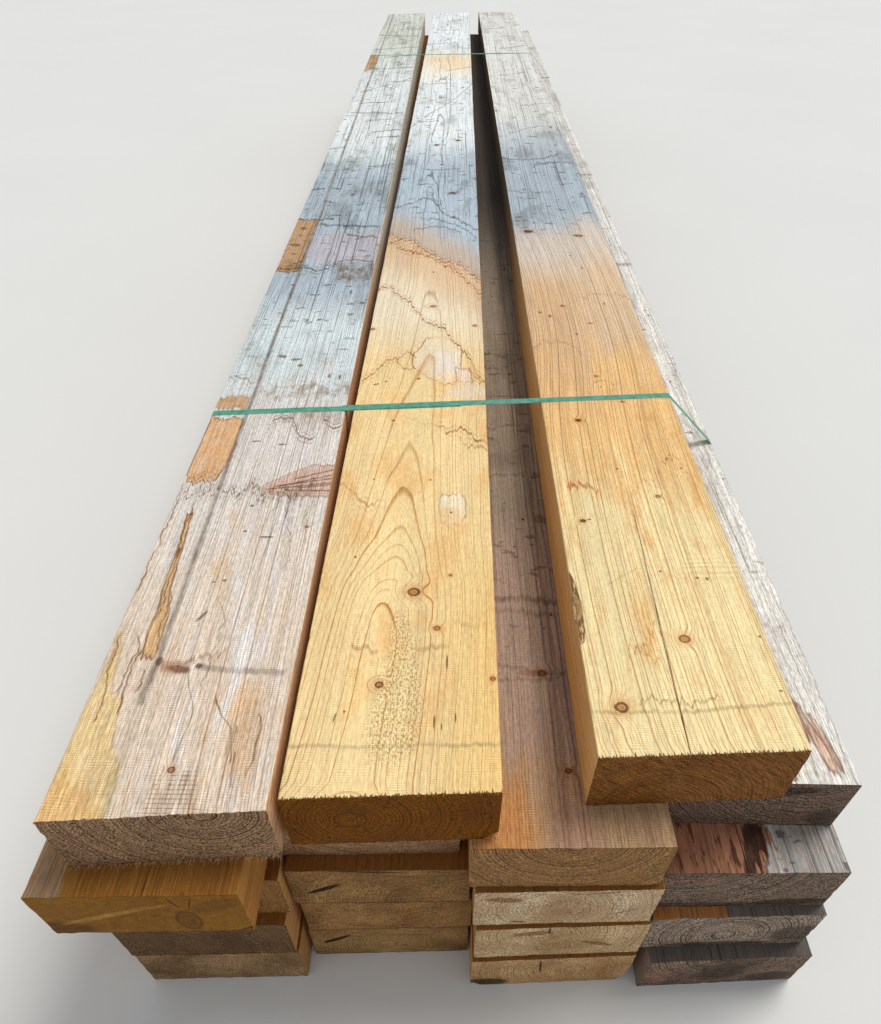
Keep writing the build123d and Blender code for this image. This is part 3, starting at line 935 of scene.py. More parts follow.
def middle_patches(wood):
    """Pale islands with brown rims, and the warm wood by the rear strap."""
    wood.island([(1019, 200, 225), (1035, 184, 236), (1066, 156, 240), (1110, 124, 242),
                 (1164, 122, 243), (1190, 135, 243), (1250, 150, 158)],
                (tone(247, 226, 192), tone(200, 160, 116)), TIDE, 1.0, soft=5, jag=22)
    wood.island([(1070, 176, 238), (1170, 180, 236)], (tone(242, 230, 216), tone(192, 166, 136)), soft=16,
                jag=40)
    wood.island([(1028, 231, 270), (1095, 228, 262)], (tone(240, 226, 216), tone(196, 164, 140)), TIDE, 0.8,
                soft=6, jag=24)
    wood.island([(955, 186, 310), (1020, 250, 310)], (tone(240, 218, 190), tone(196, 160, 122)),
                soft=10, jag=40)
    wood.island([(540, 206, 246), (565, 202, 252), (600, 203, 252), (626, 214, 234)],
                (tone(250, 236, 206), tone(206, 172, 126)), tone(186, 134, 76), 0.7, soft=6, jag=26)
    for front, left, right, colours in (
        (4350, -20, 320, (tone(255, 246, 228), tone(180, 144, 108))),
        (4550, 100, 320, (tone(250, 226, 190), tone(164, 118, 80))),
        (4700, 20, 160, (tone(246, 218, 180), tone(160, 110, 70))),
    ):
        wood.island([(front, left, right), (5000, left, right)], colours, soft=70, jag=260)


def middle_lines(wood):
    """The tide lines that water left on the golden wood."""
    for points, strength, jag in (
        ([(0, 1525), (38, 1543), (80, 1467), (110, 1420), (143, 1350), (189, 1301),
          (209, 1266), (241, 1193), (268, 1129), (285, 1063), (300, 1040)], 0.85, 26),
        ([(5, 1039), (45, 1090), (81, 1142), (115, 1169), (125, 1150)], 0.75, 24),
        ([(81, 1142), (114, 1091), (125, 1100)], 0.6, 16),
        ([(114, 889), (152, 868), (200, 864), (211, 835), (253, 836), (280, 790),
          (300, 800)], 0.7, 20),
        ([(0, 656), (11, 650), (71, 590), (82, 600)], 0.6, 14),
        ([(240, 800), (270, 765), (300, 770)], 0.45, 20),
        ([(233, 310), (257, 299), (300, 307)], 0.45, 10),
        ([(71, 244), (112, 241)], 0.45, 14), ([(175, 249), (222, 254)], 0.4, 10),
        ([(262, 1100), (272, 1060), (290, 1050)], 0.8, 30),
    ):
        wood.line(points, TIDE, min(1.0, 1.25 * strength), 8, 1.4 * jag, echo=0.7 * strength)


def middle_figure(wood):
    """A warmer right side, softer arches, a blush, and the patch of fuzzy fibres near the front."""
    wood.zone(wood.times(wood.smooth(wood.across, 160, 300), wood.past(700, 200)),
              tone(246, 208, 138), tone(176, 124, 66))
    arched = wood.times(wood.smooth(wood.size(wood.minus(wood.across, 137)), 75, 30),
                        wood.times(wood.past(360, 460), wood.past(1200, 800)))
    wood.zone(wood.times(arched, 0.8), tone(250, 222, 163), tone(212, 164, 98))
    blush = wood.clouds(13, 7, 13, 5.0, detail=3, roughness=0.6)
    blush = wood.times(wood.smooth(blush, 0.48, 0.66), wood.past(1200, 900))
    wood.zone(wood.times(blush, 0.7), tone(246, 196, 130), tone(170, 112, 62))
    wood.line([(-10, 77), (310, 87)], tone(150, 138, 104), 0.5, width=5, jag=4)
    fuzzy = wood.patch([(62, 112, 165), (85, 112, 186), (140, 108, 190), (240, 126, 178),
                        (330, 130, 150)], 40)
    flecks = wood.clouds(430, 190, 430, detail=1, roughness=0.6)
    fuzzy = wood.smooth(fuzzy, 8, -14)
    wood.stain(wood.times(fuzzy, wood.smooth(flecks, 0.50, 0.60)), tone(178, 142, 84), 0.75)
    wood.stain(wood.times(fuzzy, wood.smooth(flecks, 0.46, 0.38)), tone(250, 234, 184), 0.6)


def middle_dirt(wood):
    """Soot, the long hair crack and the pin knots."""
    for points, width in (
        ([(-10, 2200), (59, 2242), (102, 2300), (178, 2151), (218, 2107), (300, 1990)], 14),
        ([(-10, 3200), (46, 3400), (175, 3733), (300, 4160)], 16), ([(21, 4151), (163, 4179)], 14),
        ([(100, 2360), (140, 2370)], 8), ([(190, 2350), (230, 2355)], 16),
        ([(80, 1980), (160, 2020), (240, 1940)], 10), ([(100, 2100), (200, 2060), (280, 1960)], 10),
        ([(120, 2620), (240, 2650)], 9), ([(50, 3350), (130, 3370)], 12), ([(150, 4500), (300, 4620)], 16),
        ([(0, 5350), (200, 5420)], 18), ([(100, 5900), (220, 5950)], 18),
    ):
        wood.line(points, SOOT, 0.7, width, 30)
    crack = [(2200, 160), (2390, 155), (2720, 161), (2960, 157), (3160, 178), (3760, 181), (4820, 149)]
    wood.run(crack, tone(60, 52, 46), 0.9, width=2, jag=3)
    wood.spots(
        tone(112, 72, 38), 0.8, (74, 135, 2.5, 3), (93, 872, 4, 5), (68, 667, 3, 4), (182, 667, 3, 5),
        (55, 449, 3, 4), (224, 570, 4, 5), (140, 1047, 6, 5), (41, 1021, 10, 4, 20), (63, 1034, 4, 4),
        (158, 1653, 4, 6), (214, 2107, 10, 14), (247, 4067, 10, 20), (61, 125, 1.5, 10, -10),
        (205, 121, 1.5, 12), (216, 113, 1.5, 8), (236, 128, 1.5, 9), (222, 225, 2, 16), (131, 2976, 12, 12),
        (226, 3047, 12, 12), (160, 2700, 8, 12),
    )


def middle_top_beam():
    """The middle beam: fresh golden wood with arched figure and brown tide lines, grey beyond the last."""
    beam = Beam("top_tier_beam_2", turn=-0.48)
    wood = Timber(
        beam, tone(250, 221, 163), tone(196, 126, 60), ring=5.5, line=0.78, seed=9.0,
        pith=[(0, 98, 58), (30, 104, 51), (300, 122, 46), (389, 126, 40),
              (414, 127, 34.5), (465, 130, 29), (514, 132, 23.5), (632, 135, 18),
              (820, 137, 12.5), (1250, 160, 2), (2200, 140, -10), (6700, 150, -20)],
        end_pith=(98, 80),
        knots=[(163, 368, 10), (205, 291, 5), (121, 182, 6), (225, 408, 3),
               (292, 196, 4), (164, 1427, 7), (7, 1293, 6), (278, 1315, 5),
               (206, 2360, 9), (131, 2976, 10), (226, 3047, 10)],
    )
    for lay in (middle_zones, middle_patches, middle_lines, middle_figure, middle_dirt):
        lay(wood)
    material = wood.complete(
        (tone(134, 80, 6), tone(72, 38, 2), tone(108, 60, 4)), (tone(232, 184, 122), tone(184, 128, 72)),
        contrast=0.9, saw=0.12, fibre=0.22, coarse=0.08, end_contrast=0.7, speckle=0.45, notched=3.5,
        far_sides_greying_and_light=(tone(150, 140, 126), tone(96, 86, 74)),
    )
    fibres = [("lower", 130, 5 * MM, 0.7 * MM, 21), ("upper", 150, 3 * MM, 0.5 * MM, 22)]
    saw_beam(beam, material, FINE, (), 2.0 * MM, fibres)


def right_zones(wood):
    """Golden wood that turns orange, then duller, and grey beyond a ragged border."""
    wood.zone(wood.past(450, 750, 250), tone(250, 206, 142), tone(172, 112, 56))
    flecks = wood.clouds(40, 10, 40, 3.0, detail=4, roughness=0.65)
    flecks = wood.times(wood.smooth(flecks, 0.50, 0.72), wood.smooth(wood.along, 150, 600, 0.35, 0.7))
    wood.zone(flecks, tone(234, 176, 112), tone(168, 104, 56))
    orange = wood.patch([(930, -20, 120), (1250, -20, 140), (1600, -20, 60)], 120)
    wood.zone(wood.past(950, 1250, 250), tone(234, 204, 168), tone(150, 104, 68))
    wood.zone(wood.times(wood.smooth(orange, 90, -60), 0.7), tone(224, 182, 136), tone(140, 88, 50))
    greying = wood.border([(0, 1730), (110, 1745), (178, 1760), (254, 1850), (300, 1770)])
    wood.zone(wood.smooth(greying, -300, 20), tone(222, 208, 194), tone(140, 120, 104))
    wood.zone(wood.smooth(greying, 60, 300), tone(184, 196, 206), tone(108, 112, 118))
    wood.zone(wood.past(2600, 3600), tone(242, 242, 236), tone(140, 134, 126))
    wood.grime(wood.smooth(greying, 0, 300), 0.65)


def right_fibres(wood):
    """The drying check, curled grain by the right side and the flakes of bark in the left arris."""
    wood.island([(170, 100, 112), (236, 98, 126), (290, 102, 130)],
                (tone(240, 198, 134), tone(190, 128, 70)), soft=14, jag=80)
    wood.run([(0, 129), (250, 135.5), (500, 142)], tone(96, 62, 34), 1.0, width=1.5, jag=2)
    curl = wood.maths("SINE", wood.scaled(wood.sway, 12.0, wood.times(wood.along, 2 * math.pi / 12)))
    curled = wood.smooth(wood.patch([(345, 190, 320), (390, 220, 320)], 30), 12, -14)
    wood.stain(wood.times(curled, wood.smooth(curl, -0.2, 0.9)), tone(206, 158, 92), 0.3)
    wood.stain(wood.times(curled, wood.smooth(curl, -0.3, -0.9)), tone(255, 240, 200), 0.25)
    pocket = wood.smooth(wood.patch([(200, -20, 4), (230, -20, 12), (270, -20, 13),
                                     (320, -20, 9), (350, -20, 2)], 8), 2, -1)
    pocket = wood.times(pocket, wood.smooth(wood.up, wood.height - 16, wood.height - 9))
    flakes = wood.clouds(300, 45, 300, roughness=0.6)
    wood.stain(pocket, tone(98, 58, 36), 0.9)
    wood.stain(wood.times(pocket, wood.smooth(flakes, 0.54, 0.60)), tone(234, 196, 140), 0.9)


def right_marks(wood):
    """Scuffs, drips, soot and pin knots."""
    for points, colour, strength, width, jag in (
        ([(0, 74), (126, 76), (247, 87), (300, 90)], tone(160, 134, 84), 0.5, 5, 6),
        ([(75, 92), (105, 98), (135, 94), (190, 99)], tone(146, 118, 70), 0.6, 4, 20),
        ([(66, 324), (121, 363)], tone(140, 124, 96), 0.4, 3, 3),
        ([(24, 590), (61, 581), (84, 553)], tone(196, 120, 66), 1.0, 13, 60),
        ([(150, 560), (180, 600), (200, 580)], tone(200, 130, 74), 0.7, 5, 60),
        ([(225, 660), (245, 690), (270, 640)], tone(170, 100, 54), 0.8, 5, 40),
        ([(100, 205), (125, 220), (135, 200)], tone(206, 140, 84), 0.8, 6, 60),
        ([(72, 200), (100, 185), (120, 175)], tone(206, 146, 86), 0.7, 5, 50),
        ([(120, 930), (150, 975), (178, 965)], RUST, 0.4, 5, 20),
        ([(0, 2310), (140, 2300)], SOOT, 0.45, 14, 20), ([(50, 3100), (200, 3220)], SOOT, 0.45, 14, 20),
        ([(0, 2720), (100, 2700), (240, 2780)], BROWN, 0.8, 14, 30),
        ([(120, 2600), (240, 2660), (300, 2620)], SOOT, 0.7, 14, 30),
        ([(140, 3600), (300, 3660)], SOOT, 0.6, 12, 30), ([(50, 4300), (220, 4400)], SOOT, 0.5, 16, 30),
        ([(100, 5100), (300, 5250)], SOOT, 0.6, 22, 30), ([(20, 5900), (180, 5960)], SOOT, 0.5, 22, 30),
        ([(0, 1100), (50, 1160), (120, 1120)], RUST, 0.5, 6, 40),
        ([(160, 1380), (240, 1440), (300, 1400)], RUST, 0.45, 7, 40),
    ):
        wood.line(points, colour, strength, width, jag)
    wood.spots(
        tone(118, 76, 42), 0.75, (288, 214, 3, 3.5), (288, 113, 4, 2.5), (221, 340, 4, 4), (237, 338, 4, 5),
        (160, 355, 3, 3), (133, 640, 5, 4), (249, 687, 3, 4), (264, 643, 4, 4, 30), (147, 948, 3, 4),
        (166, 1712, 4, 6), (36, 1326, 5, 8), (62, 1304, 5, 10), (122, 1204, 4, 8), (222, 1380, 3, 12),
        (190, 1620, 3, 8), (200, 1878, 10, 7, 10), (43, 483, 6, 4), (56, 487, 5, 2), (76, 811, 7, 6),
        (49, 1912, 14, 14),
    )


def right_top_beam():
    """The right beam: golden, straight in its figure, with a drying check and a bark pocket."""
    beam = Beam("top_tier_beam_3")
    wood = Timber(
        beam, tone(253, 231, 176), tone(188, 130, 62), ring=6.0, line=0.60, seed=15.0,
        pith=[(0, -100, 0), (600, -120, 0), (1300, -90, 10), (2200, -120, 0), (6700, -90, 0)],
        end_pith=(120, -70),
        knots=[(46, 82, 9.5), (168, 208, 8), (76, 811, 6), (187, 886, 4),
               (198, 555, 4), (43, 483, 5), (49, 1912, 13), (215, 1874, 9),
               (142, 996, 4), (165, 1264, 4), (103, 1365, 5)],
    )
    for lay in (right_zones, right_fibres, right_marks):
        lay(wood)
    material = wood.complete(
        (tone(144, 96, 46), tone(82, 46, 16), tone(122, 76, 34)), (tone(232, 190, 130), tone(180, 128, 74)),
        contrast=0.85, saw=0.12, fibre=0.24, coarse=0.1, end_contrast=0.6, speckle=0.35, scratch=(-42, 0.5),
        # The far sides darkened with painted shade, as deep in the gap beside the middle beam, and greyed
        notched=4.5, far_sides_greying_and_light=(tone(110, 96, 84), tone(70, 58, 48)),
    )
    checks = [((116 * MM, -0.5), (142 * MM, 0.5))]
    fibres = [("lower", 60, 4 * MM, 0.6 * MM, 31), ("upper", 110, 3.5 * MM, 0.5 * MM, 32)]
    saw_beam(beam, material, FINE, checks, 1.6 * MM, fibres)


# The beams of the tiers below


def plain_beam(node, pith, faces, ends, sides=TAN_SIDE, slot="tan_timber", grid=PLAIN, dress=None,
               fibres=40, **options):
    """A beam that shows little but its front end. Its name gives its seed and how dark its sides are."""
    beam = Beam(node)
    seed = sum(map(ord, node)) % 97
    shade = 0.86 + 0.05 * (seed % 6)
    sides = [(*(shade * channel for channel in colour[:3]), 1.0) for colour in sides]
    rings = {name: options.pop(name) for name in ("ring", "line", "knots") if name in options}
    wood = Timber(beam, *faces, pith=[(0, *pith), (beam.length / MM, *pith)], seed=seed, **rings)
    if dress:
        dress(wood)
    material = wood.complete(ends, sides, weathered=0.85, **options)
    torn = [("lower", fibres, 4 * MM, 0.6 * MM, seed)] if fibres else []
    saw_beam(beam, material, grid, fibres=torn)


def golden_under_painted_gap_shade(wood):
    """The beam under the gap between the middle and right top beams: tan on its left, banded by old damp,
    with a purplish grey painted shadow of the right beam along its right side, and painted shade that darkens
    it deeper into the gap.
    """
    wood.island([(-100, -20, 110), (30, -20, 100), (100, -20, 60)],
                (tone(200, 140, 84), tone(136, 86, 46)), soft=30, jag=60)
    # Painted shadow: the purplish band cast by the right top beam's front end
    wood.island([(-100, 120, 190), (100, 120, 180)], (tone(190, 150, 124), tone(118, 86, 70)),
                soft=22, jag=60)
    greyer = wood.past(80, 220, 150)
    wood.zone(greyer, tone(186, 160, 142), tone(112, 90, 78))
    # Painted shadow of the right top beam along the right edge, over the greyer wood
    wood.zone(wood.times(wood.smooth(wood.across, 150, 185), greyer), tone(164, 142, 138), tone(100, 80, 76))
    # Painted shade farther into the gap, darker and greyer
    wood.zone(wood.past(500, 800), tone(164, 148, 130), tone(106, 90, 78))
    wood.grime(wood.past(100, 600), 0.5)
    # Painted shade: the wood deep in the gap stands in near darkness
    wood.zone(wood.past(1600, 2800), tone(84, 74, 66), tone(52, 46, 42))
    for points, strength, width in (
        ([(0, 477), (120, 477), (190, 460)], 0.6, 12), ([(0, 455), (180, 440)], 0.3, 10),
        ([(0, 290), (120, 291), (170, 305)], 0.45, 6), ([(60, 318), (170, 300)], 0.4, 6),
        ([(60, 850), (140, 862)], 0.6, 5), ([(0, 1180), (160, 1190)], 0.45, 6),
        ([(40, 1420), (160, 1400)], 0.45, 6), ([(90, 1050), (180, 1060)], 0.4, 6),
    ):
        wood.line(points, tone(96, 76, 60), strength, width, 14)
    wood.spot(118, 306, 34, 9, tone(150, 106, 78), 0.6)
    for across, along, size in (
        (159, 438, 5), (143, 405, 2.5), (125, 704, 5), (100, 620, 3), (130, 1300, 6), (150, 2000, 8),
    ):
        wood.spot(across, along, size, size, tone(70, 46, 32), 0.85)


def bleached(wood):
    """The outer beam of the right column: white-grey, with lines of dirt and torn orange wood in front."""
    for rows in (
        [(15, 264, 270), (50, 256, 270), (90, 250, 262), (135, 246, 250)],
        [(30, 276, 279), (60, 270, 279), (100, 264, 272), (120, 262, 265)],
        [(75, 244, 246), (120, 239, 246), (165, 235, 238)], [(3, 178, 192), (12, 176, 202), (24, 190, 194)],
    ):
        wood.island(rows, (tone(226, 188, 162), tone(150, 102, 74)), tone(140, 98, 72), 0.8, jag=24)
    wood.grime(wood.smooth(wood.along, 0, 800, 0.35, 1.0), 0.6, 0.66, 0.61)
    for shift in (10, 30, 45, 65, 80, 100):
        wood.run([(0, 190 + shift), (2000, 200 + shift), (6700, 190 + shift)], tone(104, 100, 96), 0.4,
                 width=2.5, jag=14)
    wood.line([(200, 1950), (300, 1930)], SOOT, 0.6, 16, 30)
    wood.line([(200, 2900), (300, 2930)], SOOT, 0.5, 20, 30)
    for across, along, size in ((290, 740, 3), (280, 1550, 4), (250, 450, 2), (262, 1160, 4)):
        wood.spot(across, along, size, 2 * size, SOOT, 0.7)


def stained_brown(wood):
    """Half dark red-brown with ragged drips, half bleached."""
    wood.island([(-50, 170, 320), (0, 166, 320), (20, 182, 320), (35, 170, 320),
                 (55, 192, 320), (75, 176, 320), (100, 190, 320), (6800, 180, 320)],
                (tone(196, 194, 190), tone(56, 54, 54)), tone(64, 44, 34), 0.8, soft=3, jag=40)
    wood.grime(wood.smooth(wood.across, 165, 190), 0.75, 0.60, 0.55)
    drips = wood.clouds(120, 22, 120, detail=3, roughness=0.6)
    wood.stain(wood.times(wood.smooth(drips, 0.53, 0.61), wood.smooth(wood.across, 175, 165)),
               tone(66, 40, 32), 0.75)
    wood.island([(-50, 120, 128), (10, 128, 150), (30, 132, 172), (60, 140, 178),
                 (100, 146, 170)], (tone(66, 44, 36), tone(40, 26, 22)), soft=3, jag=50)


def half_rust(wood):
    """Rusty brown on its left half."""
    wood.island([(-50, -20, 130), (6800, -20, 130)], (tone(184, 122, 66), tone(132, 80, 40)),
                tone(74, 50, 34), 0.7, jag=16)


def greyed_corner(wood):
    """A greyed left edge, a bruise and a drying check near the front."""
    wood.island([(-50, -20, 62), (100, -20, 45), (500, -20, 30)],
                (tone(172, 142, 112), tone(112, 88, 66)), soft=5, jag=20)
    wood.spot(222, 6, 6, 8, tone(120, 76, 36), 0.7)
    wood.run([(-10, 163), (60, 168), (140, 166)], tone(92, 40, 18), 0.95, width=2.2, jag=4)


left_top_beam()
middle_top_beam()
right_top_beam()

plain_beam(
    "fourth_tier_beam_1", (-100, 50), (tone(162, 110, 50), tone(100, 60, 24)),
    (tone(154, 106, 34), tone(104, 66, 20), tone(132, 88, 26)), (tone(194, 138, 72), tone(140, 92, 42)),
    dress=greyed_corner, fibres=0, line=0.3, end_contrast=0.3, speckle=0.15, scratch=(24, 0.22), coarse=0.25,
    fibre=0.25, end_marks=(
        (212, 48, 17, 34, tone(104, 62, 24), 0.6), (212, 48, 17, 34, tone(50, 30, 14), 0.5, 0, True),
        (204, 112, 2, 26, tone(40, 24, 12), 0.8, 16), (226, 108, 1.5, 30, tone(50, 30, 14), 0.7, -14),
        (20, 20, 60, 30, tone(80, 44, 24), 0.6), (80, 62, 75, 9, tone(190, 140, 72), 0.45, 24),
        (135, 85, 85, 7, tone(190, 140, 72), 0.4, 21), (300, 16, 30, 4, tone(50, 32, 16), 0.7, 30),
        (255, 100, 50, 20, tone(110, 70, 24), 0.5, 30),
    ),
)
plain_beam("fourth_tier_beam_2", (200, 180), TAN_FACE_PAINTED_SHADE, (tone(178, 140, 104), tone(104, 74, 50)), grid=HIDDEN,
           end_contrast=1.0)
plain_beam(
    "fourth_tier_beam_3", (157, 160), (tone(186, 152, 116), tone(124, 92, 66)),
    (tone(176, 132, 84), tone(92, 64, 36), tone(158, 118, 74)),
    knots=[(155, 123, 5), (130, 306, 7)], dress=golden_under_painted_gap_shade, saw=0.18, end_contrast=1.0,
    speckle=0.5, coarse=0.25, fibre=0.25, pores=0.22,
)
plain_beam(
    "fourth_tier_beam_4", (240, 170), (tone(252, 250, 244), tone(182, 178, 172)),
    (tone(142, 120, 106), tone(50, 40, 36), tone(124, 100, 84)), (tone(196, 190, 182), tone(140, 132, 126)),
    slot="grey_timber", dress=bleached, end_contrast=1.0, speckle=0.7, coarse=0.2, fibre=0.4, ring=4,
    pores=0.3, scratch=(-24, 0.4), end_marks=(
        (50, 100, 70, 35, tone(128, 88, 64), 0.6, 0), (200, 115, 50, 16, tone(50, 40, 34), 0.7, 10),
        (275, 30, 30, 30, tone(58, 48, 42), 0.6, 0),
    ),
)
plain_beam("third_tier_beam_1", (150, 70), TAN_FACE_PAINTED_SHADE, (tone(166, 120, 66), tone(100, 66, 32)), speckle=0.6)
plain_beam(
    "third_tier_beam_2", (240, 10), TAN_FACE_PAINTED_SHADE, (tone(178, 136, 84), tone(96, 66, 34)), grid=HIDDEN,
    speckle=0.5, seam=5, end_contrast=0.7, scratch=(12, 0.3), end_marks=(
        (56, 65, 42, 7.5, CRACK, 1.0, 33), (130, 132, 80, 3, tone(40, 24, 14), 0.8, -4),
        (190, 112, 50, 4, SCAR, 0.7, -8), (260, 90, 30, 3, SCAR, 0.6, 20),
    ),
)
plain_beam(
    "third_tier_beam_3", (120, 70), TAN_FACE_PAINTED_SHADE, (tone(242, 220, 182), tone(166, 132, 96)), grid=HIDDEN,
    end_contrast=1.0, speckle=0.5, end_marks=(
        (50, 110, 34, 12, SCAR, 0.7, -6), (75, 14, 16, 6, SCAR, 0.8, 0),
        (200, 130, 50, 3, SCAR, 0.6, 6), (250, 50, 30, 3, SCAR, 0.5, 30),
    ),
)
plain_beam(
    "third_tier_beam_4", (50, 200), (tone(176, 124, 96), tone(116, 76, 56)),
    (tone(150, 126, 108), tone(48, 36, 28), tone(124, 106, 92)), GREY_SIDE,
    slot="brown_timber", dress=stained_brown, end_contrast=1.0, speckle=0.7, coarse=0.3, fibre=0.3,
    scratch=(-14, 0.4), end_marks=(
        (240, 20, 80, 16, tone(40, 30, 24), 0.7, 4), (100, 10, 120, 12, tone(60, 46, 38), 0.6, 0),
        (60, 110, 50, 20, tone(134, 104, 84), 0.5, 0),
    ),
)
plain_beam("second_tier_beam_1", (50, 20), TAN_FACE_PAINTED_SHADE, (tone(132, 102, 70), tone(74, 52, 32)), speckle=0.5,
           end_contrast=0.9)
plain_beam("second_tier_beam_2", (150, 200), TAN_FACE_PAINTED_SHADE, (tone(182, 138, 86), tone(108, 74, 40)), grid=HIDDEN,
           seam=5, end_contrast=0.6, speckle=0.5, scratch=(20, 0.25))
plain_beam(
    "second_tier_beam_3", (120, 115), TAN_FACE_PAINTED_SHADE, (tone(238, 212, 168), tone(160, 126, 86)), grid=HIDDEN,
    end_contrast=1.0, speckle=0.5, end_marks=(
        (214, 57, 40, 8, SCAR, 0.75, -24), (95, 115, 40, 12, SCAR, 0.7, 6),
        (127, 125, 3, 16, CRACK, 0.8, 0),
    ),
)
plain_beam(
    "second_tier_beam_4", (150, 60), (tone(112, 102, 96), tone(66, 58, 52)),
    (tone(178, 158, 138), tone(62, 48, 40), tone(140, 122, 108)), GREY_SIDE,
    slot="brown_timber", dress=half_rust, end_contrast=1.0, speckle=0.7, coarse=0.3, scratch=(10, 0.4),
    end_marks=(
        (270, 50, 50, 50, tone(60, 48, 42), 0.7, 0), (140, 10, 120, 12, tone(52, 40, 32), 0.7, 0),
        (160, 75, 50, 20, tone(180, 158, 134), 0.2, 6),
    ),
)
plain_beam("bottom_tier_beam_1", (100, -40), TAN_FACE_PAINTED_SHADE, (tone(182, 148, 108), tone(104, 78, 50)), fibres=0,
           end_contrast=0.8, speckle=0.6)
plain_beam(
    "bottom_tier_beam_2", (150, 60), TAN_FACE_PAINTED_SHADE, (tone(186, 148, 96), tone(112, 80, 44)), grid=HIDDEN, fibres=0,
    seam=5, end_contrast=0.6, speckle=0.4, scratch=(8, 0.3),
    end_marks=((50, 86, 42, 8, CRACK, 1.0, 36), (190, 100, 60, 3, SCAR, 0.6, -5)),
)
plain_beam(
    "bottom_tier_beam_3", (200, 80), TAN_FACE_PAINTED_SHADE, (tone(226, 188, 134), tone(144, 106, 64)), grid=HIDDEN,
    fibres=0, end_contrast=0.9, speckle=0.5,
    # The second end mark is painted shade: a dark oval for a small void at the lower left corner
    end_marks=((128, 100, 3, 40, CRACK, 0.8, 4), (30, 20, 50, 25, tone(40, 28, 20), 0.85, 0)),
)
plain_beam(
    "bottom_tier_beam_4", (150, 160), (tone(104, 96, 90), tone(60, 52, 48)),
    (tone(158, 132, 110), tone(50, 40, 34), tone(96, 80, 70)), GREY_SIDE,
    slot="brown_timber", fibres=0, end_contrast=1.0, speckle=0.7, coarse=0.3, scratch=(6, 0.4),
    end_marks=(
        (30, 50, 30, 50, tone(150, 112, 92), 0.6, 0), (150, 75, 50, 50, tone(50, 40, 34), 0.45, 30),
        (250, 30, 60, 30, tone(56, 48, 44), 0.7, 0),
    ),
)


# The two plastic straps


def strap_finish():
    """Green strapping with a fine embossed pattern, dull on its scuffed high spots."""
    plastic = Finish("green_strap")
    here = plastic.node("TexCoord").outputs["Object"]
    scuffs = plastic.cloud(plastic.stretch(here, 60, 60, 60), detail=3)
    diagonal = (0, 0, math.radians(45))
    turned = plastic.node("Mapping", here, (0, 0, 0), diagonal, (STRAP_PATTERN,) * 3).outputs[0]
    embossed = plastic.node("TexVoronoi", turned, distance="CHEBYCHEV")
    embossed.inputs["Scale"].default_value = 1.0
    embossed.inputs["Randomness"].default_value = 0.0
    colour = plastic.mix(plastic.spread(scuffs, 0, 1), tone(54, 128, 104), tone(96, 160, 138))
    plastic.cover(colour, plastic.spread(scuffs, 0.35, 0.55), embossed.outputs["Distance"],
                  STRAP_RELIEF, 0.4)
    return plastic.material


def arris(node, side, level, lift=0.0):
    """The middle of the rounded arris of a beam, seen along the stack: its place across and up."""
    low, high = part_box(node)
    x = low.x + ARRIS_RADIUS if side == "left" else high.x - ARRIS_RADIUS
    z = low.z + ARRIS_RADIUS + lift if level == "low" else high.z - ARRIS_RADIUS
    return Vector((x, z))


def strap_line(start_x):
    """Points round the stack with their outward directions, leftwards from start_x on top and back to it."""
    corners = [
        arris("top_tier_beam_1", "left", "high"),
        arris("fourth_tier_beam_1", "left", "high"),
        arris("fourth_tier_beam_1", "left", "low"),
        arris("bottom_tier_beam_1", "left", "low", STRAP_LAYER),
        arris("bottom_tier_beam_4", "right", "low", STRAP_LAYER),
        arris("bottom_tier_beam_4", "right", "high"),
        arris("fourth_tier_beam_4", "right", "high"),
        arris("top_tier_beam_3", "right", "high"),
    ]
    line = []
    start = Vector((start_x, corners[0].y))
    stops = [start] + corners + [start]
    outward = Vector((0, 1))
    for here, after in zip(stops, stops[1:]):
        run = (after - here).normalized()
        facing = Vector((run.y, -run.x))
        turn = outward.angle_signed(facing)
        for share in (0.25, 0.5, 0.75):
            bent = outward.copy()
            bent.rotate(Matrix.Rotation(-turn * share, 2))
            if abs(turn) > SAME_DIRECTION:
                line.append((here + bent * ARRIS_RADIUS, bent))
        for distance in steps((0, (after - here).length, STRAP_PITCH)):
            line.append((here + run * distance + facing * ARRIS_RADIUS, facing))
        line.append((after + facing * ARRIS_RADIUS, facing))
        outward = facing
    return line


def wind_strap(node, material, start_x, setback, skew):
    """One strap wound once round the stack, its last stretch laid and welded over its first."""
    slope = math.tan(math.radians(skew))
    line = strap_line(start_x)
    over = [
        (point, facing) for point, facing in line
        if facing.y > 0.999 and start_x - STRAP_OVERLAP < point.x < start_x - MM
    ]
    mesh = bmesh.new()
    row = []
    for index, (point, facing) in enumerate(line + over):
        lapped = index >= len(line)
        approach = point.x - start_x if facing.y > 0.99 and index > len(line) / 2 else 1.0
        lift = STRAP_LAYER * (1.0 if lapped else max(0.0, 1 - approach / LAP_RISE))
        tail = 0.0
        if index < len(over) + 4:
            tail = TAIL_OFFSET * max(0.0, 1 - (start_x - point.x) / (1.6 * STRAP_OVERLAP))
        sway = noise.noise(Vector((index * 0.05, setback, 0))) * STRAP_SWAY
        made = []
        for share in (-0.5, -0.42, -0.2, 0.2, 0.42, 0.5):
            place = point + facing * (lift + STRAP_CROWN * (1 - (2 * share) ** 2))
            y = setback + point.x * slope + share * STRAP_WIDTH + sway - tail
            made.append(mesh.verts.new((place.x, y, place.y)))
        if row:
            for left, right, right_after, left_after in zip(row, row[1:], made[1:], made):
                mesh.faces.new((left, right, right_after, left_after))
        row = made
    bmesh.ops.recalc_face_normals(mesh, faces=mesh.faces)
    bmesh.ops.solidify(mesh, geom=mesh.faces[:], thickness=STRAP_THICKNESS)
    bmesh.ops.recalc_face_normals(mesh, faces=mesh.faces)
    place_piece(node + "_wound", mesh, material, node)


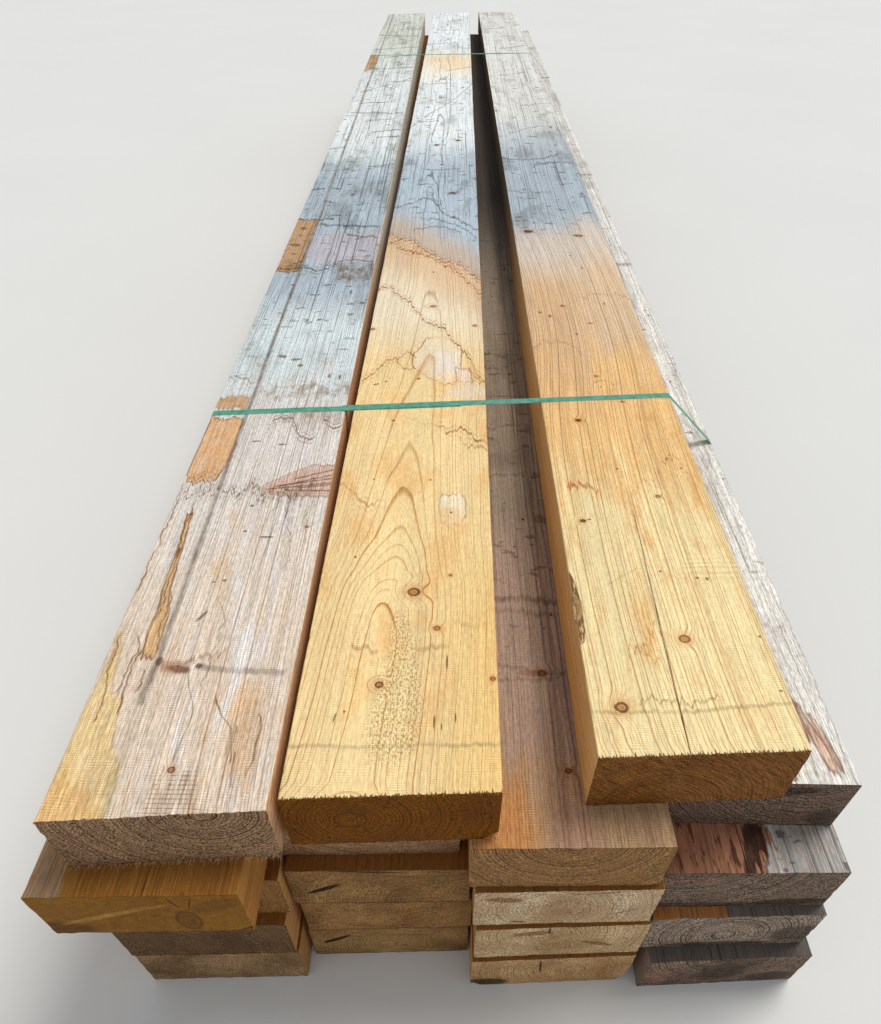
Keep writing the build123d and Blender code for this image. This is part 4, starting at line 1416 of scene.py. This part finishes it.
strap_green = strap_finish()
wind_strap("front_strap", strap_green, -14.5 * MM, -2.449, 4.5)
wind_strap("rear_strap", strap_green, 345.5 * MM, 1.616, 3.5)


# Floor, light and camera


def pale_floor():
    finish = Finish("pale_floor")
    here = finish.node("TexCoord").outputs["Object"]
    clouds = finish.cloud(finish.stretch(here, 0.8, 0.8, 0.8), detail=3)
    colour = finish.mix(clouds, tone(214, 214, 212), tone(220, 220, 218))
    finish.feed(finish.shader.inputs["Base Color"], colour)
    finish.shader.inputs["Roughness"].default_value = 0.9
    mesh = bmesh.new()
    bmesh.ops.create_grid(mesh, x_segments=1, y_segments=1, size=FLOOR_REACH)
    data = bpy.data.meshes.new("floor")
    mesh.to_mesh(data)
    mesh.free()
    floor = bpy.data.objects.new("floor", data)
    bpy.context.scene.collection.objects.link(floor)
    data.materials.append(finish.material)


def studio_light():
    """An even pale room, and one broad soft lamp high up, to the right of the stack and past its middle."""
    world = bpy.data.worlds.new("studio")
    bpy.context.scene.world = world
    world.use_nodes = True
    tree = world.node_tree
    room = tree.nodes["Background"]
    room.inputs["Color"].default_value = (0.94, 0.97, 1.0, 1.0)
    path = tree.nodes.new("ShaderNodeLightPath")
    strength = tree.nodes.new("ShaderNodeMapRange")
    strength.inputs["To Min"].default_value = 0.55
    strength.inputs["To Max"].default_value = 1.0
    tree.links.new(path.outputs["Is Camera Ray"], strength.inputs["Value"])
    tree.links.new(strength.outputs[0], room.inputs["Strength"])
    lamp = bpy.data.lights.new("softbox", "SUN")
    lamp.energy = LAMP_STRENGTH
    lamp.angle = LAMP_WIDTH
    lamp.color = (1.0, 0.98, 0.94)
    softbox = bpy.data.objects.new("softbox", lamp)
    bpy.context.scene.collection.objects.link(softbox)
    softbox.rotation_euler = Vector(LAMP_AIM).to_track_quat("Z", "Y").to_euler()


def camera():
    """The photograph's viewpoint: standing close before the front end, looking down along the stack."""
    forward = Vector((
        math.sin(CAMERA_YAW) * math.cos(CAMERA_PITCH),
        math.cos(CAMERA_YAW) * math.cos(CAMERA_PITCH),
        -math.sin(CAMERA_PITCH),
    ))
    level = Vector((math.cos(CAMERA_YAW), -math.sin(CAMERA_YAW), 0))
    upright = level.cross(forward)
    right = math.cos(CAMERA_ROLL) * level + math.sin(CAMERA_ROLL) * upright
    above = -math.sin(CAMERA_ROLL) * level + math.cos(CAMERA_ROLL) * upright
    lens = bpy.data.cameras.new("camera")
    lens.lens = CAMERA_LENS
    lens.clip_start, lens.clip_end = 0.05, 200
    view = bpy.data.objects.new("camera", lens)
    turned = Matrix((right, above, -forward)).transposed().to_4x4()
    view.matrix_world = Matrix.Translation(CAMERA_PLACE) @ turned
    bpy.context.scene.collection.objects.link(view)
    bpy.context.scene.camera = view


pale_floor()
studio_light()
camera()
bpy.context.scene.view_settings.view_transform = "Standard"
